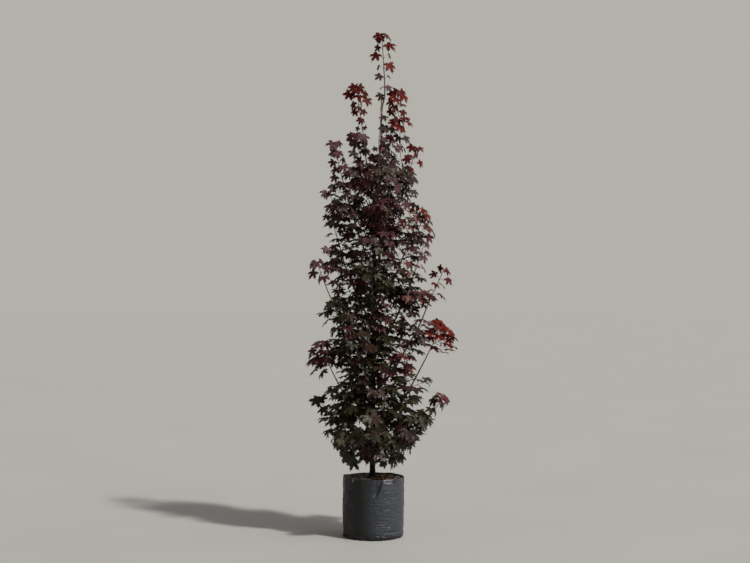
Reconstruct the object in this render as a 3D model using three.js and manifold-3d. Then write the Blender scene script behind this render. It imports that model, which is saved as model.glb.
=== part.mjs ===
// A columnar maple just over three metres tall, growing in a black planting bag.
// Lengths are millimetres, angles are degrees and +Z is up. The origin is the middle of the bag's
// flat underside, and the front looks along -Y.
import * as THREE from 'three';
import { mergeVertices } from 'three/addons/utils/BufferGeometryUtils.js';
import Module from 'manifold-3d';

const wasm = await Module();
wasm.setup();

const { clamp, degToRad, lerp, smoothstep } = THREE.MathUtils;
const up = new THREE.Vector3(0, 0, 1);

// Driving dimensions
const restGap = 0.3; // left between two pieces that rest on each other
const bag = { radius: 190, height: 370, wall: 2.4, footRound: 16, bulge: 3, sides: 32, wallSteps: 3 };
const soil = { top: 338, hollow: 9, flatRadius: 48, lowRadius: 137 };
const trunk = {
  tip: 2735, // where the old tip was cut back
  footX: -6, lean: 26, bend: 32, bendFrom: 2050, bendTo: 2500, sway: 7,
  footRadius: 16.5, tipRadius: 4.4, flare: 12, flareHeight: 42, ribs: 5, ribDepth: 0.16,
  sides: 10, steps: 16, lowSteps: 1.5, // a power over 1 sets the steps closer at the foot
};
// The shoot that took over from the old tip stands off beside it and then bends back above it
const leader = {
  fork: 2642, tip: 3075, turn: 8, standOff: 19, aboveOff: 13, tipOff: 2, footRadius: 4.6, bareShare: 0.34,
};
const limb = {
  footRadius: 3.2, girthByLength: 0.0062, tipRadius: 1.5, // girth grows with the limb's length
  trunkShare: 0.62, // and stays under this share of the trunk's girth
  elbowOut: 0.44, elbowUp: 0.24, // the elbow's share of the reach and of the rise
  bareShare: 0.27, bareLength: 85, // bare up to the smaller of the two
  boughSides: 5, boughSteps: 3, stemSides: 3, stemSteps: 4,
};

// Limbs that spread to the sides, lowest first. A bare run is a stretch of stem with no leaves.
const rightLimbs = [
  { fork: 446, tip: 850, reach: 440, turn: -14 },
  { fork: 452, tip: 600, reach: 230, turn: 24 },
  { fork: 590, tip: 1290, reach: 430, turn: 10, bareRun: [0.58, 0.86] },
  { fork: 880, tip: 1630, reach: 440, turn: -16, bareRun: [0.6, 0.86] },
  { fork: 1110, tip: 1800, reach: 325, turn: 16 },
  { fork: 1370, tip: 1996, reach: 290, turn: -14 },
  { fork: 1740, tip: 2380, reach: 258, turn: 14 },
  { fork: 2090, tip: 2730, reach: 146, turn: -12 },
];
const leftLimbs = [
  { fork: 490, tip: 822, reach: 330, turn: 168 },
  { fork: 462, tip: 590, reach: 196, turn: 205 },
  { fork: 640, tip: 1170, reach: 330, turn: 192, bareRun: [0.55, 0.78] },
  { fork: 790, tip: 1420, reach: 252, turn: 164 },
  { fork: 1010, tip: 1670, reach: 350, turn: 194, bareRun: [0.6, 0.82] },
  { fork: 1290, tip: 1960, reach: 268, turn: 170 },
  { fork: 1640, tip: 2400, reach: 245, turn: 188 },
  { fork: 2010, tip: 2765, reach: 114, turn: 174 },
];
// Limbs to the front and to the back, by turns, up the trunk
const depthLimbs = {
  count: 9, fork: 498, spacing: 187, lowRise: 250, rise: 560, reach: 300, topReach: 165,
  frontTurn: 270, backTurn: 90, swing: 32, swingStep: 2.4,
};
// Short shoots that leave the trunk itself and fill the middle of the crown
const innerShoots = [
  { fork: 700, tip: 1010, reach: 120, turn: -42 },
  { fork: 1010, tip: 1330, reach: 120, turn: -48 },
  { fork: 1420, tip: 1730, reach: 110, turn: 222 },
  { fork: 1830, tip: 2140, reach: 100, turn: 200 },
  { fork: 2270, tip: 2500, reach: 70, turn: -40 },
];

const leaf = {
  length: 96, lengthSpread: 0.1, lowSize: 1.08, highSize: 0.84, tipSize: 0.78,
  thickness: 3.6, stalk: 48, stalkSpread: 0.18, droop: 58, droopSpread: 14, roll: 16, tipSag: 0.16,
  // turn from the midrib and share of the length, from the tip round to the stalk
  outline: [[0, 1], [49, 0.84], [106, 0.58], [152, 0.13]],
};
const shoots = {
  nodeStep: 54, firstNode: 16, openAngle: 58, tipAngle: 41, crossTurn: 90, jitter: 17, tipLeaves: 3,
  foldLimit: 0.34, // cosine of the sharpest fold between a stalk and its blade
  pairGap: 8, // the two stalks of a pair stand this far apart along their stem
  sink: 0.3, // and start past its middle by this share of its radius
};
const twig = {
  stemShare: 0.1, // twigs grow on this first share of a stem's nodes
  length: 84, lengthSpread: 0.25, rise: 0.25, footRadius: 2.2, tipRadius: 1.7, sides: 3, openAngle: 46,
  clearance: 4.8, checks: 4,
};
// What is tried in turn until a leaf fits: shares of its size, turns about its stem and added droops
const tries = { sizes: [1.12, 0.94, 0.76], turns: [0, 28, -28, 56, -56, 84, -84], droops: [0, -20, 20, -40] };
const ownSpaceMargin = 2.2; // a leaf keeps this far inside its mass's own space
const woodMargin = 1.2; // and this far from every limb but its own stem
const woodStep = 6; // between the points that stand for the wood
const youngFrom = 2050; // masses that end above this height have young leaves

// Materials
const paint = (color, roughness) => new THREE.MeshStandardMaterial({ color, roughness, metalness: 0 });
const bagFilm = paint(0x26272b, 0.42);
const compost = paint(0x3a2c22, 0.95);
const trunkBark = paint(0x6a6058, 0.85);
const boughBark = paint(0x5a4a42, 0.8);
const darkLeaf = paint(0x3a1c26, 0.5);
const youngLeaf = paint(0x6a1f22, 0.45);

const plant = new THREE.Group();

function addPiece(name, geometry, material) {
  const mesh = new THREE.Mesh(geometry, material);
  mesh.name = name;
  plant.add(mesh);
}

// A seeded stream of numbers: share draws from 0 to 1, around draws within a spread either way
function seeded(seed) {
  let state = (seed * 2654435 + 97) % 4294967296;
  const share = () => {
    state = (1664525 * state + 1013904223) % 4294967296;
    return state / 4294967296;
  };
  for (let i = 0; i < 4; i += 1) share();
  return { around: (spread) => (share() * 2 - 1) * spread };
}

// Closed geometry to a solid, and a solid back to geometry
function solidOf(geometry) {
  const bare = geometry.clone();
  bare.deleteAttribute('normal');
  bare.deleteAttribute('uv');
  const merged = mergeVertices(bare, 1e-3);
  return new wasm.Manifold(new wasm.Mesh({
    numProp: 3,
    vertProperties: new Float32Array(merged.attributes.position.array),
    triVerts: new Uint32Array(merged.index.array),
  }));
}

function geometryOf(solid) {
  const mesh = solid.getMesh();
  const geometry = new THREE.BufferGeometry();
  geometry.setAttribute('position', new THREE.BufferAttribute(mesh.vertProperties, 3));
  geometry.setIndex(new THREE.BufferAttribute(mesh.triVerts, 1));
  const flat = geometry.toNonIndexed();
  flat.computeVertexNormals();
  return flat;
}

// The largest body of a solid: hollows that joining sealed are filled and loose scraps dropped
function outerBody(solid) {
  return solid.decompose().sort((a, b) => b.volume() - a.volume())[0];
}

// A closed taper along a path, bent from a cylinder that stands on its end
function taper(path, from, to, radiusAt, sides, steps) {
  const tube = new THREE.CylinderGeometry(1, 1, 1, sides, steps);
  const place = tube.attributes.position;
  for (let i = 0; i < place.count; i += 1) {
    const at = lerp(from, to, place.getY(i) + 0.5);
    const along = path.getTangentAt(at);
    const side = new THREE.Vector3(-along.z, 0, along.x).normalize();
    const other = new THREE.Vector3().crossVectors(side, along);
    const point = path.getPointAt(at)
      .addScaledVector(side, place.getX(i) * radiusAt(at))
      .addScaledVector(other, place.getZ(i) * radiusAt(at));
    place.setXYZ(i, point.x, point.y, point.z);
  }
  return tube;
}

// The bag: one thin wall with a flat floor, rounded at its foot and slightly barrelled
function bagRadius(height) {
  return bag.radius - bag.bulge * (1 - Math.sin((Math.PI * height) / bag.height));
}

function bagWall(inset, floor, top) {
  const roundFrom = bagRadius(bag.footRound) - inset - bag.footRound;
  const points = [new THREE.Vector2(roundFrom, floor)];
  for (const turn of [30, 60]) {
    const round = bag.footRound - floor;
    points.push(new THREE.Vector2(
      roundFrom + round * Math.sin(degToRad(turn)),
      bag.footRound - round * Math.cos(degToRad(turn)),
    ));
  }
  for (let i = 0; i <= bag.wallSteps; i += 1) {
    const height = lerp(bag.footRound, top, i / bag.wallSteps);
    points.push(new THREE.Vector2(bagRadius(height) - inset, height));
  }
  return points;
}

function spun(profile) {
  return new THREE.LatheGeometry(profile, bag.sides).rotateX(Math.PI / 2);
}

function bagGeometry() {
  const outside = bagWall(0, 0, bag.height);
  const inside = bagWall(bag.wall, bag.wall, bag.height).reverse();
  return spun([new THREE.Vector2(0, 0), ...outside, ...inside, new THREE.Vector2(0, bag.wall)]);
}

// The compost fills the bag to just below its rim, and is level round the trunk
function soilGeometry() {
  const inset = bag.wall + restGap;
  return spun([
    new THREE.Vector2(0, inset),
    ...bagWall(inset, inset, soil.top - soil.hollow / 2),
    new THREE.Vector2(soil.lowRadius, soil.top - soil.hollow),
    new THREE.Vector2(soil.flatRadius, soil.top),
    new THREE.Vector2(0, soil.top),
  ]);
}

// The trunk's middle and girth at a height
const trunkFoot = soil.top + restGap;

function trunkAt(height) {
  const share = (height - trunkFoot) / (trunk.tip - trunkFoot);
  const bend = trunk.bend * smoothstep(height, trunk.bendFrom, trunk.bendTo);
  return new THREE.Vector3(
    trunk.footX + trunk.lean * share + bend,
    trunk.sway * Math.sin(share * 3 * Math.PI),
    height,
  );
}

function trunkRadius(height) {
  const share = clamp((height - trunkFoot) / (trunk.tip - trunkFoot), 0, 1);
  const flare = trunk.flare * Math.exp(-(height - trunkFoot) / trunk.flareHeight);
  return lerp(trunk.footRadius, trunk.tipRadius, share) + flare;
}

function trunkGeometry(extra = 0) {
  const stem = new THREE.CylinderGeometry(1, 1, 1, trunk.sides, trunk.steps).rotateX(Math.PI / 2);
  const place = stem.attributes.position;
  for (let i = 0; i < place.count; i += 1) {
    const share = (place.getZ(i) + 0.5) ** trunk.lowSteps;
    const height = lerp(trunkFoot, trunk.tip, share);
    const turn = Math.atan2(place.getY(i), place.getX(i));
    const rib = trunk.ribDepth * Math.exp(-(height - trunkFoot) / trunk.flareHeight);
    const radius = trunkRadius(height) * (1 + rib * Math.cos(trunk.ribs * turn)) + extra;
    const reach = Math.hypot(place.getX(i), place.getY(i)) * radius;
    const middle = trunkAt(height);
    place.setXYZ(i, middle.x + reach * Math.cos(turn), middle.y + reach * Math.sin(turn), height);
  }
  return stem;
}

// Limbs: each one a path from the trunk to its tip, bare at first and then clothed with leaves
function outward(turn) {
  return new THREE.Vector3(Math.cos(degToRad(turn)), Math.sin(degToRad(turn)), 0);
}

function makeLimb(name, { fork, tip, reach, turn, bareRun = [1, 1] }, seed) {
  const start = trunkAt(fork);
  const elbow = start.clone().addScaledVector(outward(turn), reach * limb.elbowOut);
  elbow.z += (tip - fork) * limb.elbowUp;
  const end = start.clone().addScaledVector(outward(turn), reach).setZ(tip);
  const path = new THREE.QuadraticBezierCurve3(start, elbow, end);
  const length = path.getLength();
  const girth = limb.footRadius + limb.girthByLength * length;
  const footRadius = Math.min(girth, limb.trunkShare * trunkRadius(fork));
  return {
    names: { bough: `bough_${name}`, mass: `foliage_${name}` },
    path,
    seed,
    length,
    bareShare: Math.min(limb.bareShare, limb.bareLength / length),
    bareRun,
    radiusAt: (at) => lerp(footRadius, limb.tipRadius, at),
  };
}

// An inner shoot is clothed almost from the bark, so it has no bough of its own
function makeInner(name, sizes, seed) {
  const one = makeLimb(name, sizes, seed);
  return { ...one, names: { mass: one.names.mass }, bareShare: 0 };
}

function makeLeader(seed) {
  const out = outward(leader.turn);
  const beside = trunkAt(trunk.tip).addScaledVector(out, leader.standOff);
  const above = trunkAt(trunk.tip).addScaledVector(out, leader.aboveOff);
  above.z = lerp(trunk.tip, leader.tip, 0.5);
  const end = trunkAt(trunk.tip).addScaledVector(out, leader.tipOff).setZ(leader.tip);
  const path = new THREE.CatmullRomCurve3([trunkAt(leader.fork), beside, above, end]);
  return {
    names: { bough: 'leader', mass: 'foliage_top' },
    path,
    seed,
    length: path.getLength(),
    bareShare: leader.bareShare,
    bareRun: [1, 1],
    radiusAt: (at) => lerp(leader.footRadius, limb.tipRadius, at),
  };
}

function makeDepthLimbs(seed) {
  return Array.from({ length: depthLimbs.count }, (_, i) => {
    const share = i / (depthLimbs.count - 1);
    const front = i % 2 === 0;
    const fork = depthLimbs.fork + depthLimbs.spacing * i;
    const rise = lerp(depthLimbs.lowRise, depthLimbs.rise, Math.min(1, share * 3));
    const facing = front ? depthLimbs.frontTurn : depthLimbs.backTurn;
    const sizes = {
      fork,
      tip: fork + rise,
      reach: lerp(depthLimbs.reach, depthLimbs.topReach, share),
      turn: facing + depthLimbs.swing * Math.sin(i * depthLimbs.swingStep),
    };
    return makeLimb(`${front ? 'front' : 'back'}_${Math.floor(i / 2) + 1}`, sizes, seed + i);
  });
}

const limbs = [
  ...rightLimbs.map((sizes, i) => makeLimb(`right_${i + 1}`, sizes, 11 + i)),
  ...leftLimbs.map((sizes, i) => makeLimb(`left_${i + 1}`, sizes, 31 + i)),
  ...makeDepthLimbs(51),
  ...innerShoots.map((sizes, i) => makeInner(`inner_${i + 1}`, sizes, 91 + i)),
  makeLeader(71),
];

// Points along the wood, for keeping leaves clear of it and for telling whose space a point is in
function pointsAlong({ path, length, radiusAt }, from, to, owner) {
  const steps = Math.max(2, Math.ceil(((to - from) * length) / woodStep));
  return Array.from({ length: steps + 1 }, (_, i) => {
    const at = lerp(from, to, i / steps);
    return { point: path.getPointAt(at), radius: radiusAt(at), owner };
  });
}

function trunkPoints() {
  const points = [];
  for (let height = trunkFoot; height <= trunk.tip; height += woodStep) {
    points.push({ point: trunkAt(height), radius: trunkRadius(height), owner: -1 });
  }
  return points;
}

const stemPoints = limbs.flatMap((one, i) => pointsAlong(one, one.bareShare, 1, i));
const boughPoints = limbs.flatMap((one) => pointsAlong(one, 0, one.bareShare, -1));
const wood = [...stemPoints, ...boughPoints, ...trunkPoints()];

// A mass's own space is every point that is nearer to its stem than to any other mass's stem
function inOwnSpace(point, owner) {
  let own = Infinity;
  let other = Infinity;
  for (const near of stemPoints) {
    const distance = near.point.distanceToSquared(point);
    if (near.owner === owner) own = Math.min(own, distance);
    else other = Math.min(other, distance);
  }
  return Math.sqrt(own) + 2 * ownSpaceMargin < Math.sqrt(other);
}

function clearOfWood({ junction, rim }, owner) {
  const span = Math.max(...rim.map((corner) => corner.distanceTo(junction)));
  const close = wood.filter((near) => near.owner !== owner
    && near.point.distanceTo(junction) < span + near.radius + woodMargin);
  const face = new THREE.Triangle();
  const nearest = new THREE.Vector3();
  return close.every((near) => rim.every((corner, i) => {
    face.set(junction, corner, rim[(i + 1) % rim.length]);
    face.closestPointToPoint(near.point, nearest);
    return nearest.distanceTo(near.point) > near.radius + woodMargin;
  }));
}

// A leaf with its stalk: a thin lens on its outline, thickest where the stalk meets the blade
function layLeaf(root, junction, droop, roll, size) {
  const out = new THREE.Vector3().subVectors(junction, root).setZ(0).normalize();
  const level = new THREE.Vector3().crossVectors(up, out);
  const axis = out.clone().applyAxisAngle(level, degToRad(droop));
  const normal = new THREE.Vector3().crossVectors(axis, level).applyAxisAngle(axis, degToRad(roll));
  const side = new THREE.Vector3().crossVectors(normal, axis);
  const corner = (turn, share) => junction.clone()
    .addScaledVector(axis, share * size * Math.cos(degToRad(turn)))
    .addScaledVector(side, share * size * Math.sin(degToRad(turn)))
    .addScaledVector(normal, -leaf.tipSag * size * share ** 3);
  const right = leaf.outline.map(([turn, share]) => corner(turn, share));
  const left = leaf.outline.slice(1).map(([turn, share]) => corner(-turn, share)).reverse();
  return { rim: [...right, root, ...left], junction, axis, normal };
}

function leafSolid({ rim, junction, normal }) {
  const points = [
    ...rim,
    junction.clone().addScaledVector(normal, leaf.thickness / 2),
    junction.clone().addScaledVector(normal, -leaf.thickness / 2),
  ];
  const [top, bottom] = [rim.length, rim.length + 1];
  const faces = rim.flatMap((_, i) => {
    const next = (i + 1) % rim.length;
    return [top, i, next, bottom, next, i];
  });
  return new wasm.Manifold(new wasm.Mesh({
    numProp: 3,
    vertProperties: new Float32Array(points.flatMap((point) => point.toArray())),
    triVerts: new Uint32Array(faces),
  }));
}

const leafTries = tries.sizes.flatMap((share) => tries.turns.flatMap(
  (turn) => tries.droops.map((dip) => ({ share, turn, dip })),
));

// Grows one leaf at the first try that keeps to its space and touches nothing, or none at all
function growLeaf(mass, { point, along }, lean, size, radius) {
  const stalk = leaf.stalk * (1 + mass.draw.around(leaf.stalkSpread));
  const droop = leaf.droop + mass.draw.around(leaf.droopSpread);
  const roll = mass.draw.around(leaf.roll);
  for (const { share, turn, dip } of leafTries) {
    const way = lean.clone().applyAxisAngle(along, degToRad(turn));
    const root = point.clone().addScaledVector(way, -shoots.sink * radius);
    const junction = point.clone().addScaledVector(way, stalk * share);
    const laid = layLeaf(root, junction, droop + dip, roll, size * share);
    const next = laid.rim.map((_, i) => laid.rim[(i + 1) % laid.rim.length]);
    const edges = laid.rim.map((corner, i) => corner.clone().lerp(next[i], 0.5));
    const middles = laid.rim.map((corner) => corner.clone().lerp(junction, 0.5));
    const fits = way.dot(laid.axis) > shoots.foldLimit
      && [...laid.rim, ...edges, ...middles].every((spot) => inOwnSpace(spot, mass.owner))
      && clearOfWood(laid, mass.owner);
    if (fits) {
      const blade = leafSolid(laid);
      if (mass.blades.every((other) => other.intersect(blade).isEmpty())) {
        mass.blades.push(blade);
        return;
      }
    }
  }
}

// The way a shoot opens from its stem: turned about the stem from level, then opened from it
function leanFrom(along, turn, open) {
  const level = new THREE.Vector3().crossVectors(along, up).normalize().applyAxisAngle(along, degToRad(turn));
  return along.clone().applyAxisAngle(level, degToRad(open));
}

// Grows a twig with a pair of leaves at its end, or a leaf where the twig has no room
function growTwig(mass, node, lean, turn, size, stemRadius) {
  const length = twig.length * (1 + mass.draw.around(twig.lengthSpread));
  const end = node.point.clone().addScaledVector(lean, length);
  end.z += length * twig.rise;
  const path = new THREE.LineCurve3(node.point.clone(), end);
  const room = Array.from({ length: twig.checks }, (_, i) => path.getPointAt((i + 1) / twig.checks));
  const fits = room.every((spot) => inOwnSpace(spot, mass.owner));
  const clear = room.slice(1).every((spot) => wood.every((near) => near.owner === mass.owner
    || near.point.distanceTo(spot) > near.radius + twig.footRadius + twig.clearance));
  if (!fits || !clear) {
    growLeaf(mass, node, lean, size, stemRadius);
    return;
  }
  const radiusAt = (at) => lerp(twig.footRadius, twig.tipRadius, at);
  mass.twigs.push(solidOf(taper(path, 0, 1, radiusAt, twig.sides, 1)));
  const along = path.getTangentAt(1);
  for (const side of [0, 1]) {
    const across = turn + shoots.crossTurn + side * 180 + mass.draw.around(shoots.jitter);
    const point = end.clone().addScaledVector(along, -shoots.pairGap * (side + 0.5));
    growLeaf(mass, { point, along }, leanFrom(along, across, twig.openAngle), size, twig.tipRadius);
  }
}

// A point on the middle line of a stem's straight runs, and the way the run heads
function onStem({ path, bareShare }, at) {
  const run = (1 - bareShare) / limb.stemSteps;
  const step = clamp(Math.floor((at - bareShare) / run), 0, limb.stemSteps - 1);
  const start = path.getPointAt(bareShare + run * step);
  const end = path.getPointAt(Math.min(1, bareShare + run * (step + 1)));
  return {
    point: start.clone().lerp(end, (at - bareShare) / run - step),
    along: end.clone().sub(start).normalize(),
  };
}

// One mass: a stem with twigs at its foot, crossed pairs of leaves along it and a tuft at its tip
function growMass(one, owner) {
  const { path, length, bareShare, bareRun, radiusAt } = one;
  const draw = seeded(one.seed);
  const stem = solidOf(taper(path, bareShare, 1, radiusAt, limb.stemSides, limb.stemSteps));
  const mass = { draw, owner, twigs: [stem], blades: [] };
  const from = bareShare + shoots.firstNode / length;
  const nodes = Math.round(((1 - from) * length) / shoots.nodeStep);
  for (let i = 0; i < nodes; i += 1) {
    const share = i / nodes;
    const at = lerp(from, 1, share);
    const size = leaf.length * lerp(leaf.lowSize, leaf.highSize, share) * (1 + draw.around(leaf.lengthSpread));
    const bare = at > bareRun[0] && at < bareRun[1];
    for (const side of bare ? [] : [0, 1]) {
      const node = onStem(one, at + (shoots.pairGap * (side - 0.5)) / length);
      const turn = i * shoots.crossTurn + side * 180 + draw.around(shoots.jitter);
      const lean = leanFrom(node.along, turn, shoots.openAngle);
      if (share < twig.stemShare) growTwig(mass, node, lean, turn, size, radiusAt(at));
      else growLeaf(mass, node, lean, size, radiusAt(at));
    }
  }
  for (let i = 0; i < shoots.tipLeaves; i += 1) {
    const node = onStem(one, 1 - (shoots.pairGap * (i + 0.5)) / length);
    const turn = (i * 360) / shoots.tipLeaves + draw.around(shoots.jitter);
    growLeaf(mass, node, leanFrom(node.along, turn, shoots.tipAngle), leaf.length * leaf.tipSize, limb.tipRadius);
  }
  return mass;
}

// Assembly
addPiece('bag', bagGeometry(), bagFilm);
addPiece('soil', soilGeometry(), compost);
addPiece('trunk', trunkGeometry(), trunkBark);

const trunkRoom = solidOf(trunkGeometry(restGap));
let leafCount = 0;
limbs.forEach((one, owner) => {
  const { names, path, length, bareShare, radiusAt } = one;
  const mass = growMass(one, owner);
  leafCount += mass.blades.length;
  if (names.bough) {
    const end = bareShare - restGap / length;
    const bough = solidOf(taper(path, 0, end, radiusAt, limb.boughSides, limb.boughSteps));
    addPiece(names.bough, geometryOf(outerBody(bough.subtract(trunkRoom))), boughBark);
  }
  const foliage = wasm.Manifold.union([...mass.twigs, ...mass.blades]).subtract(trunkRoom);
  const age = path.getPointAt(1).z > youngFrom ? youngLeaf : darkLeaf;
  addPiece(names.mass, geometryOf(outerBody(foliage)), age);
});
console.log(`${leafCount} leaves`);

export default plant;
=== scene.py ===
# A young columnar maple in a black planting bag. Bark, twigs, leaves, film and compost are made here, in
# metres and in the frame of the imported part, and each piece stands for the nodes that it replaces.
import math

import bpy
import numpy as np
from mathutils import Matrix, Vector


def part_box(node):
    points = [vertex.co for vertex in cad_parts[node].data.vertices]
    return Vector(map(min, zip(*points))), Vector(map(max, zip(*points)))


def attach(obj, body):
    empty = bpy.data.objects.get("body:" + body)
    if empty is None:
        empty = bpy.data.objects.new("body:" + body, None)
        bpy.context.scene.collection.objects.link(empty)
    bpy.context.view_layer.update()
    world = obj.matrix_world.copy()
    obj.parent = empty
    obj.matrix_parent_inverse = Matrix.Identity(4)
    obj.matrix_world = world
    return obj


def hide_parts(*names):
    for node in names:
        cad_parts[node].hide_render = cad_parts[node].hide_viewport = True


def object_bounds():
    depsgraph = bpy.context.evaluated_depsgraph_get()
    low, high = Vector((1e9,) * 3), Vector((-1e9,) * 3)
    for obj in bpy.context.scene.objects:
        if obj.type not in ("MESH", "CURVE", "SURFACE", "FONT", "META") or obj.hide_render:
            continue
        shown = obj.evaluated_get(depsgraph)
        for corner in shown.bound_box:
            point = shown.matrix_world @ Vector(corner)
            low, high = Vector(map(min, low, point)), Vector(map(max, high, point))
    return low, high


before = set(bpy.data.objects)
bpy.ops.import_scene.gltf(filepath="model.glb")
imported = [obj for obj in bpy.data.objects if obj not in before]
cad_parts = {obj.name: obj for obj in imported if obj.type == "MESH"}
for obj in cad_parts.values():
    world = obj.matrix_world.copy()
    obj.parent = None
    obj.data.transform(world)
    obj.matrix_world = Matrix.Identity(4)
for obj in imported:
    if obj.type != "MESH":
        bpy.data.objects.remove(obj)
cadLow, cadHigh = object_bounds()

up = np.array([0.0, 0.0, 1.0])
bagLow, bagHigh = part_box("bag")
trunkLow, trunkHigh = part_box("trunk")


# Camera, floor and lights

view = {"place": (0.0105, -8.46, 1.574), "lens": 65.6, "sensor": 36.0}  # level, at eye height
studio = {
    "floorRadius": 60.0, "floorSides": 96, "floorColor": (0.382, 0.392, 0.412), "sky": (1.0, 0.90, 0.76),
    "skyLight": 0.22, "backdrop": (0.4524, 0.4397, 0.4051), "lampAway": 6.0,
    "floorMottle": 1.04,
}
lamps = {  # the way to each lamp from the tree, how much light, its colour and how wide it is in degrees
    "sun": {"way": (0.483, -0.382, 0.788), "light": 2.9, "color": (1.0, 0.94, 0.82), "wide": 4},
    "sideFill": {"way": (0.93, -0.30, 0.20), "light": 1.8, "color": (0.92, 0.93, 0.95), "wide": 84},
    "backFill": {"way": (0.25, 0.85, 0.46), "light": 0.35, "color": (1.0, 0.95, 0.86), "wide": 70},
}


def setInputs(tree, node, inputs):
    # An input gets a plain value, or a link from a socket of another node
    for key, value in inputs.items():
        if isinstance(value, bpy.types.NodeSocket):
            tree.links.new(value, node.inputs[key])
        else:
            node.inputs[key].default_value = value


def addNode(tree, kind, inputs=None, **settings):
    node = tree.nodes.new(kind)
    for key, value in settings.items():
        setattr(node, key, value)
    setInputs(tree, node, inputs or {})
    return node


def makeCamera():
    data = bpy.data.cameras.new("camera")
    data.lens, data.sensor_width = view["lens"], view["sensor"]
    camera = bpy.data.objects.new("camera", data)
    camera.location = view["place"]
    camera.rotation_euler = (math.pi / 2, 0, 0)
    bpy.context.scene.collection.objects.link(camera)
    bpy.context.scene.camera = camera


def makeLamp(name, lamp):
    data = bpy.data.lights.new(name, "SUN")
    data.energy, data.color, data.angle = lamp["light"], lamp["color"], math.radians(lamp["wide"])
    made = bpy.data.objects.new(name, data)
    made.location = Vector(lamp["way"]) * studio["lampAway"]
    made.rotation_euler = (-Vector(lamp["way"])).to_track_quat("-Z", "Y").to_euler()
    bpy.context.scene.collection.objects.link(made)


def makeLights():
    for name, lamp in lamps.items():
        makeLamp(name, lamp)
    world = bpy.data.worlds.new("sky")
    bpy.context.scene.world = world
    world.use_nodes = True
    tree = world.node_tree
    sky = tree.nodes["Background"]
    setInputs(tree, sky, {"Color": (*studio["sky"], 1), "Strength": studio["skyLight"]})
    backdrop = addNode(tree, "ShaderNodeBackground", {"Color": (*studio["backdrop"], 1)})
    rays = addNode(tree, "ShaderNodeLightPath")
    mix = addNode(tree, "ShaderNodeMixShader", {
        "Fac": rays.outputs["Is Camera Ray"], 1: sky.outputs["Background"],
        2: backdrop.outputs["Background"]})
    setInputs(tree, tree.nodes["World Output"], {"Surface": mix.outputs["Shader"]})
    bpy.context.scene.view_settings.view_transform = "Standard"


# Node groups that more than one material uses

def newGroup(name, inputs, outputs):
    # A node group, the sockets it is asked with and the node that takes its results. An input's kind
    # follows from its value: a colour has four numbers and a vector three
    group = bpy.data.node_groups.new(name, "ShaderNodeTree")
    for label, value in inputs.items():
        kind = {4: "Color", 3: "Vector"}[len(value)] if isinstance(value, tuple) else "Float"
        socket = group.interface.new_socket(name=label, in_out="INPUT", socket_type="NodeSocket" + kind)
        socket.default_value = value
    for label, kind in outputs.items():
        group.interface.new_socket(name=label, in_out="OUTPUT", socket_type="NodeSocket" + kind)
    return group, group.nodes.new("NodeGroupInput").outputs, group.nodes.new("NodeGroupOutput")


def stretchedPlace(tree, stretch):
    # The object's own coordinates, with each axis scaled by the stretch
    place = addNode(tree, "ShaderNodeTexCoord")
    scaled = addNode(tree, "ShaderNodeVectorMath", {
        0: place.outputs["Object"], 1: stretch}, operation="MULTIPLY")
    return scaled.outputs[0]


def makeMottleGroup():
    # Two colours that run into each other in soft patches
    group, asked, result = newGroup("surfaceMottle", {
        "First Color": (0, 0, 0, 1), "Second Color": (1, 1, 1, 1), "Stretch": (1, 1, 1), "Scale": 20.0,
    }, {"Color": "Color", "Mask": "Float"})
    noise = addNode(group, "ShaderNodeTexNoise", {
        "Vector": stretchedPlace(group, asked["Stretch"]), "Scale": asked["Scale"],
        "Detail": 5.0, "Roughness": 0.6})
    levels = addNode(group, "ShaderNodeMapRange", {
        "Value": noise.outputs["Fac"], "From Min": 0.35, "From Max": 0.65})
    mask = levels.outputs["Result"]
    mix = addNode(group, "ShaderNodeMix", {
        "Factor": mask, "A": asked["First Color"], "B": asked["Second Color"]}, data_type="RGBA")
    setInputs(group, result, {"Color": mix.outputs["Result"], "Mask": mask})
    return group


def makeGrainGroup():
    # Fine relief: a coarse and a fine noise added up, for the height of a bump
    group, asked, result = newGroup("fineGrain", {
        "Stretch": (1, 1, 1), "Scale": 200.0, "Fine Share": 0.4}, {"Height": "Float"})
    place = stretchedPlace(group, asked["Stretch"])
    coarse = addNode(group, "ShaderNodeTexNoise", {
        "Vector": place, "Scale": asked["Scale"], "Detail": 3.0, "Roughness": 0.55})
    finer = addNode(group, "ShaderNodeMath", {0: asked["Scale"], 1: 4.3}, operation="MULTIPLY")
    fine = addNode(group, "ShaderNodeTexNoise", {
        "Vector": place, "Scale": finer.outputs[0], "Detail": 4.0, "Roughness": 0.7})
    mix = addNode(group, "ShaderNodeMix", {
        "Factor": asked["Fine Share"], "A": coarse.outputs["Fac"], "B": fine.outputs["Fac"],
    }, data_type="FLOAT")
    setInputs(group, result, {"Height": mix.outputs["Result"]})
    return group


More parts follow.
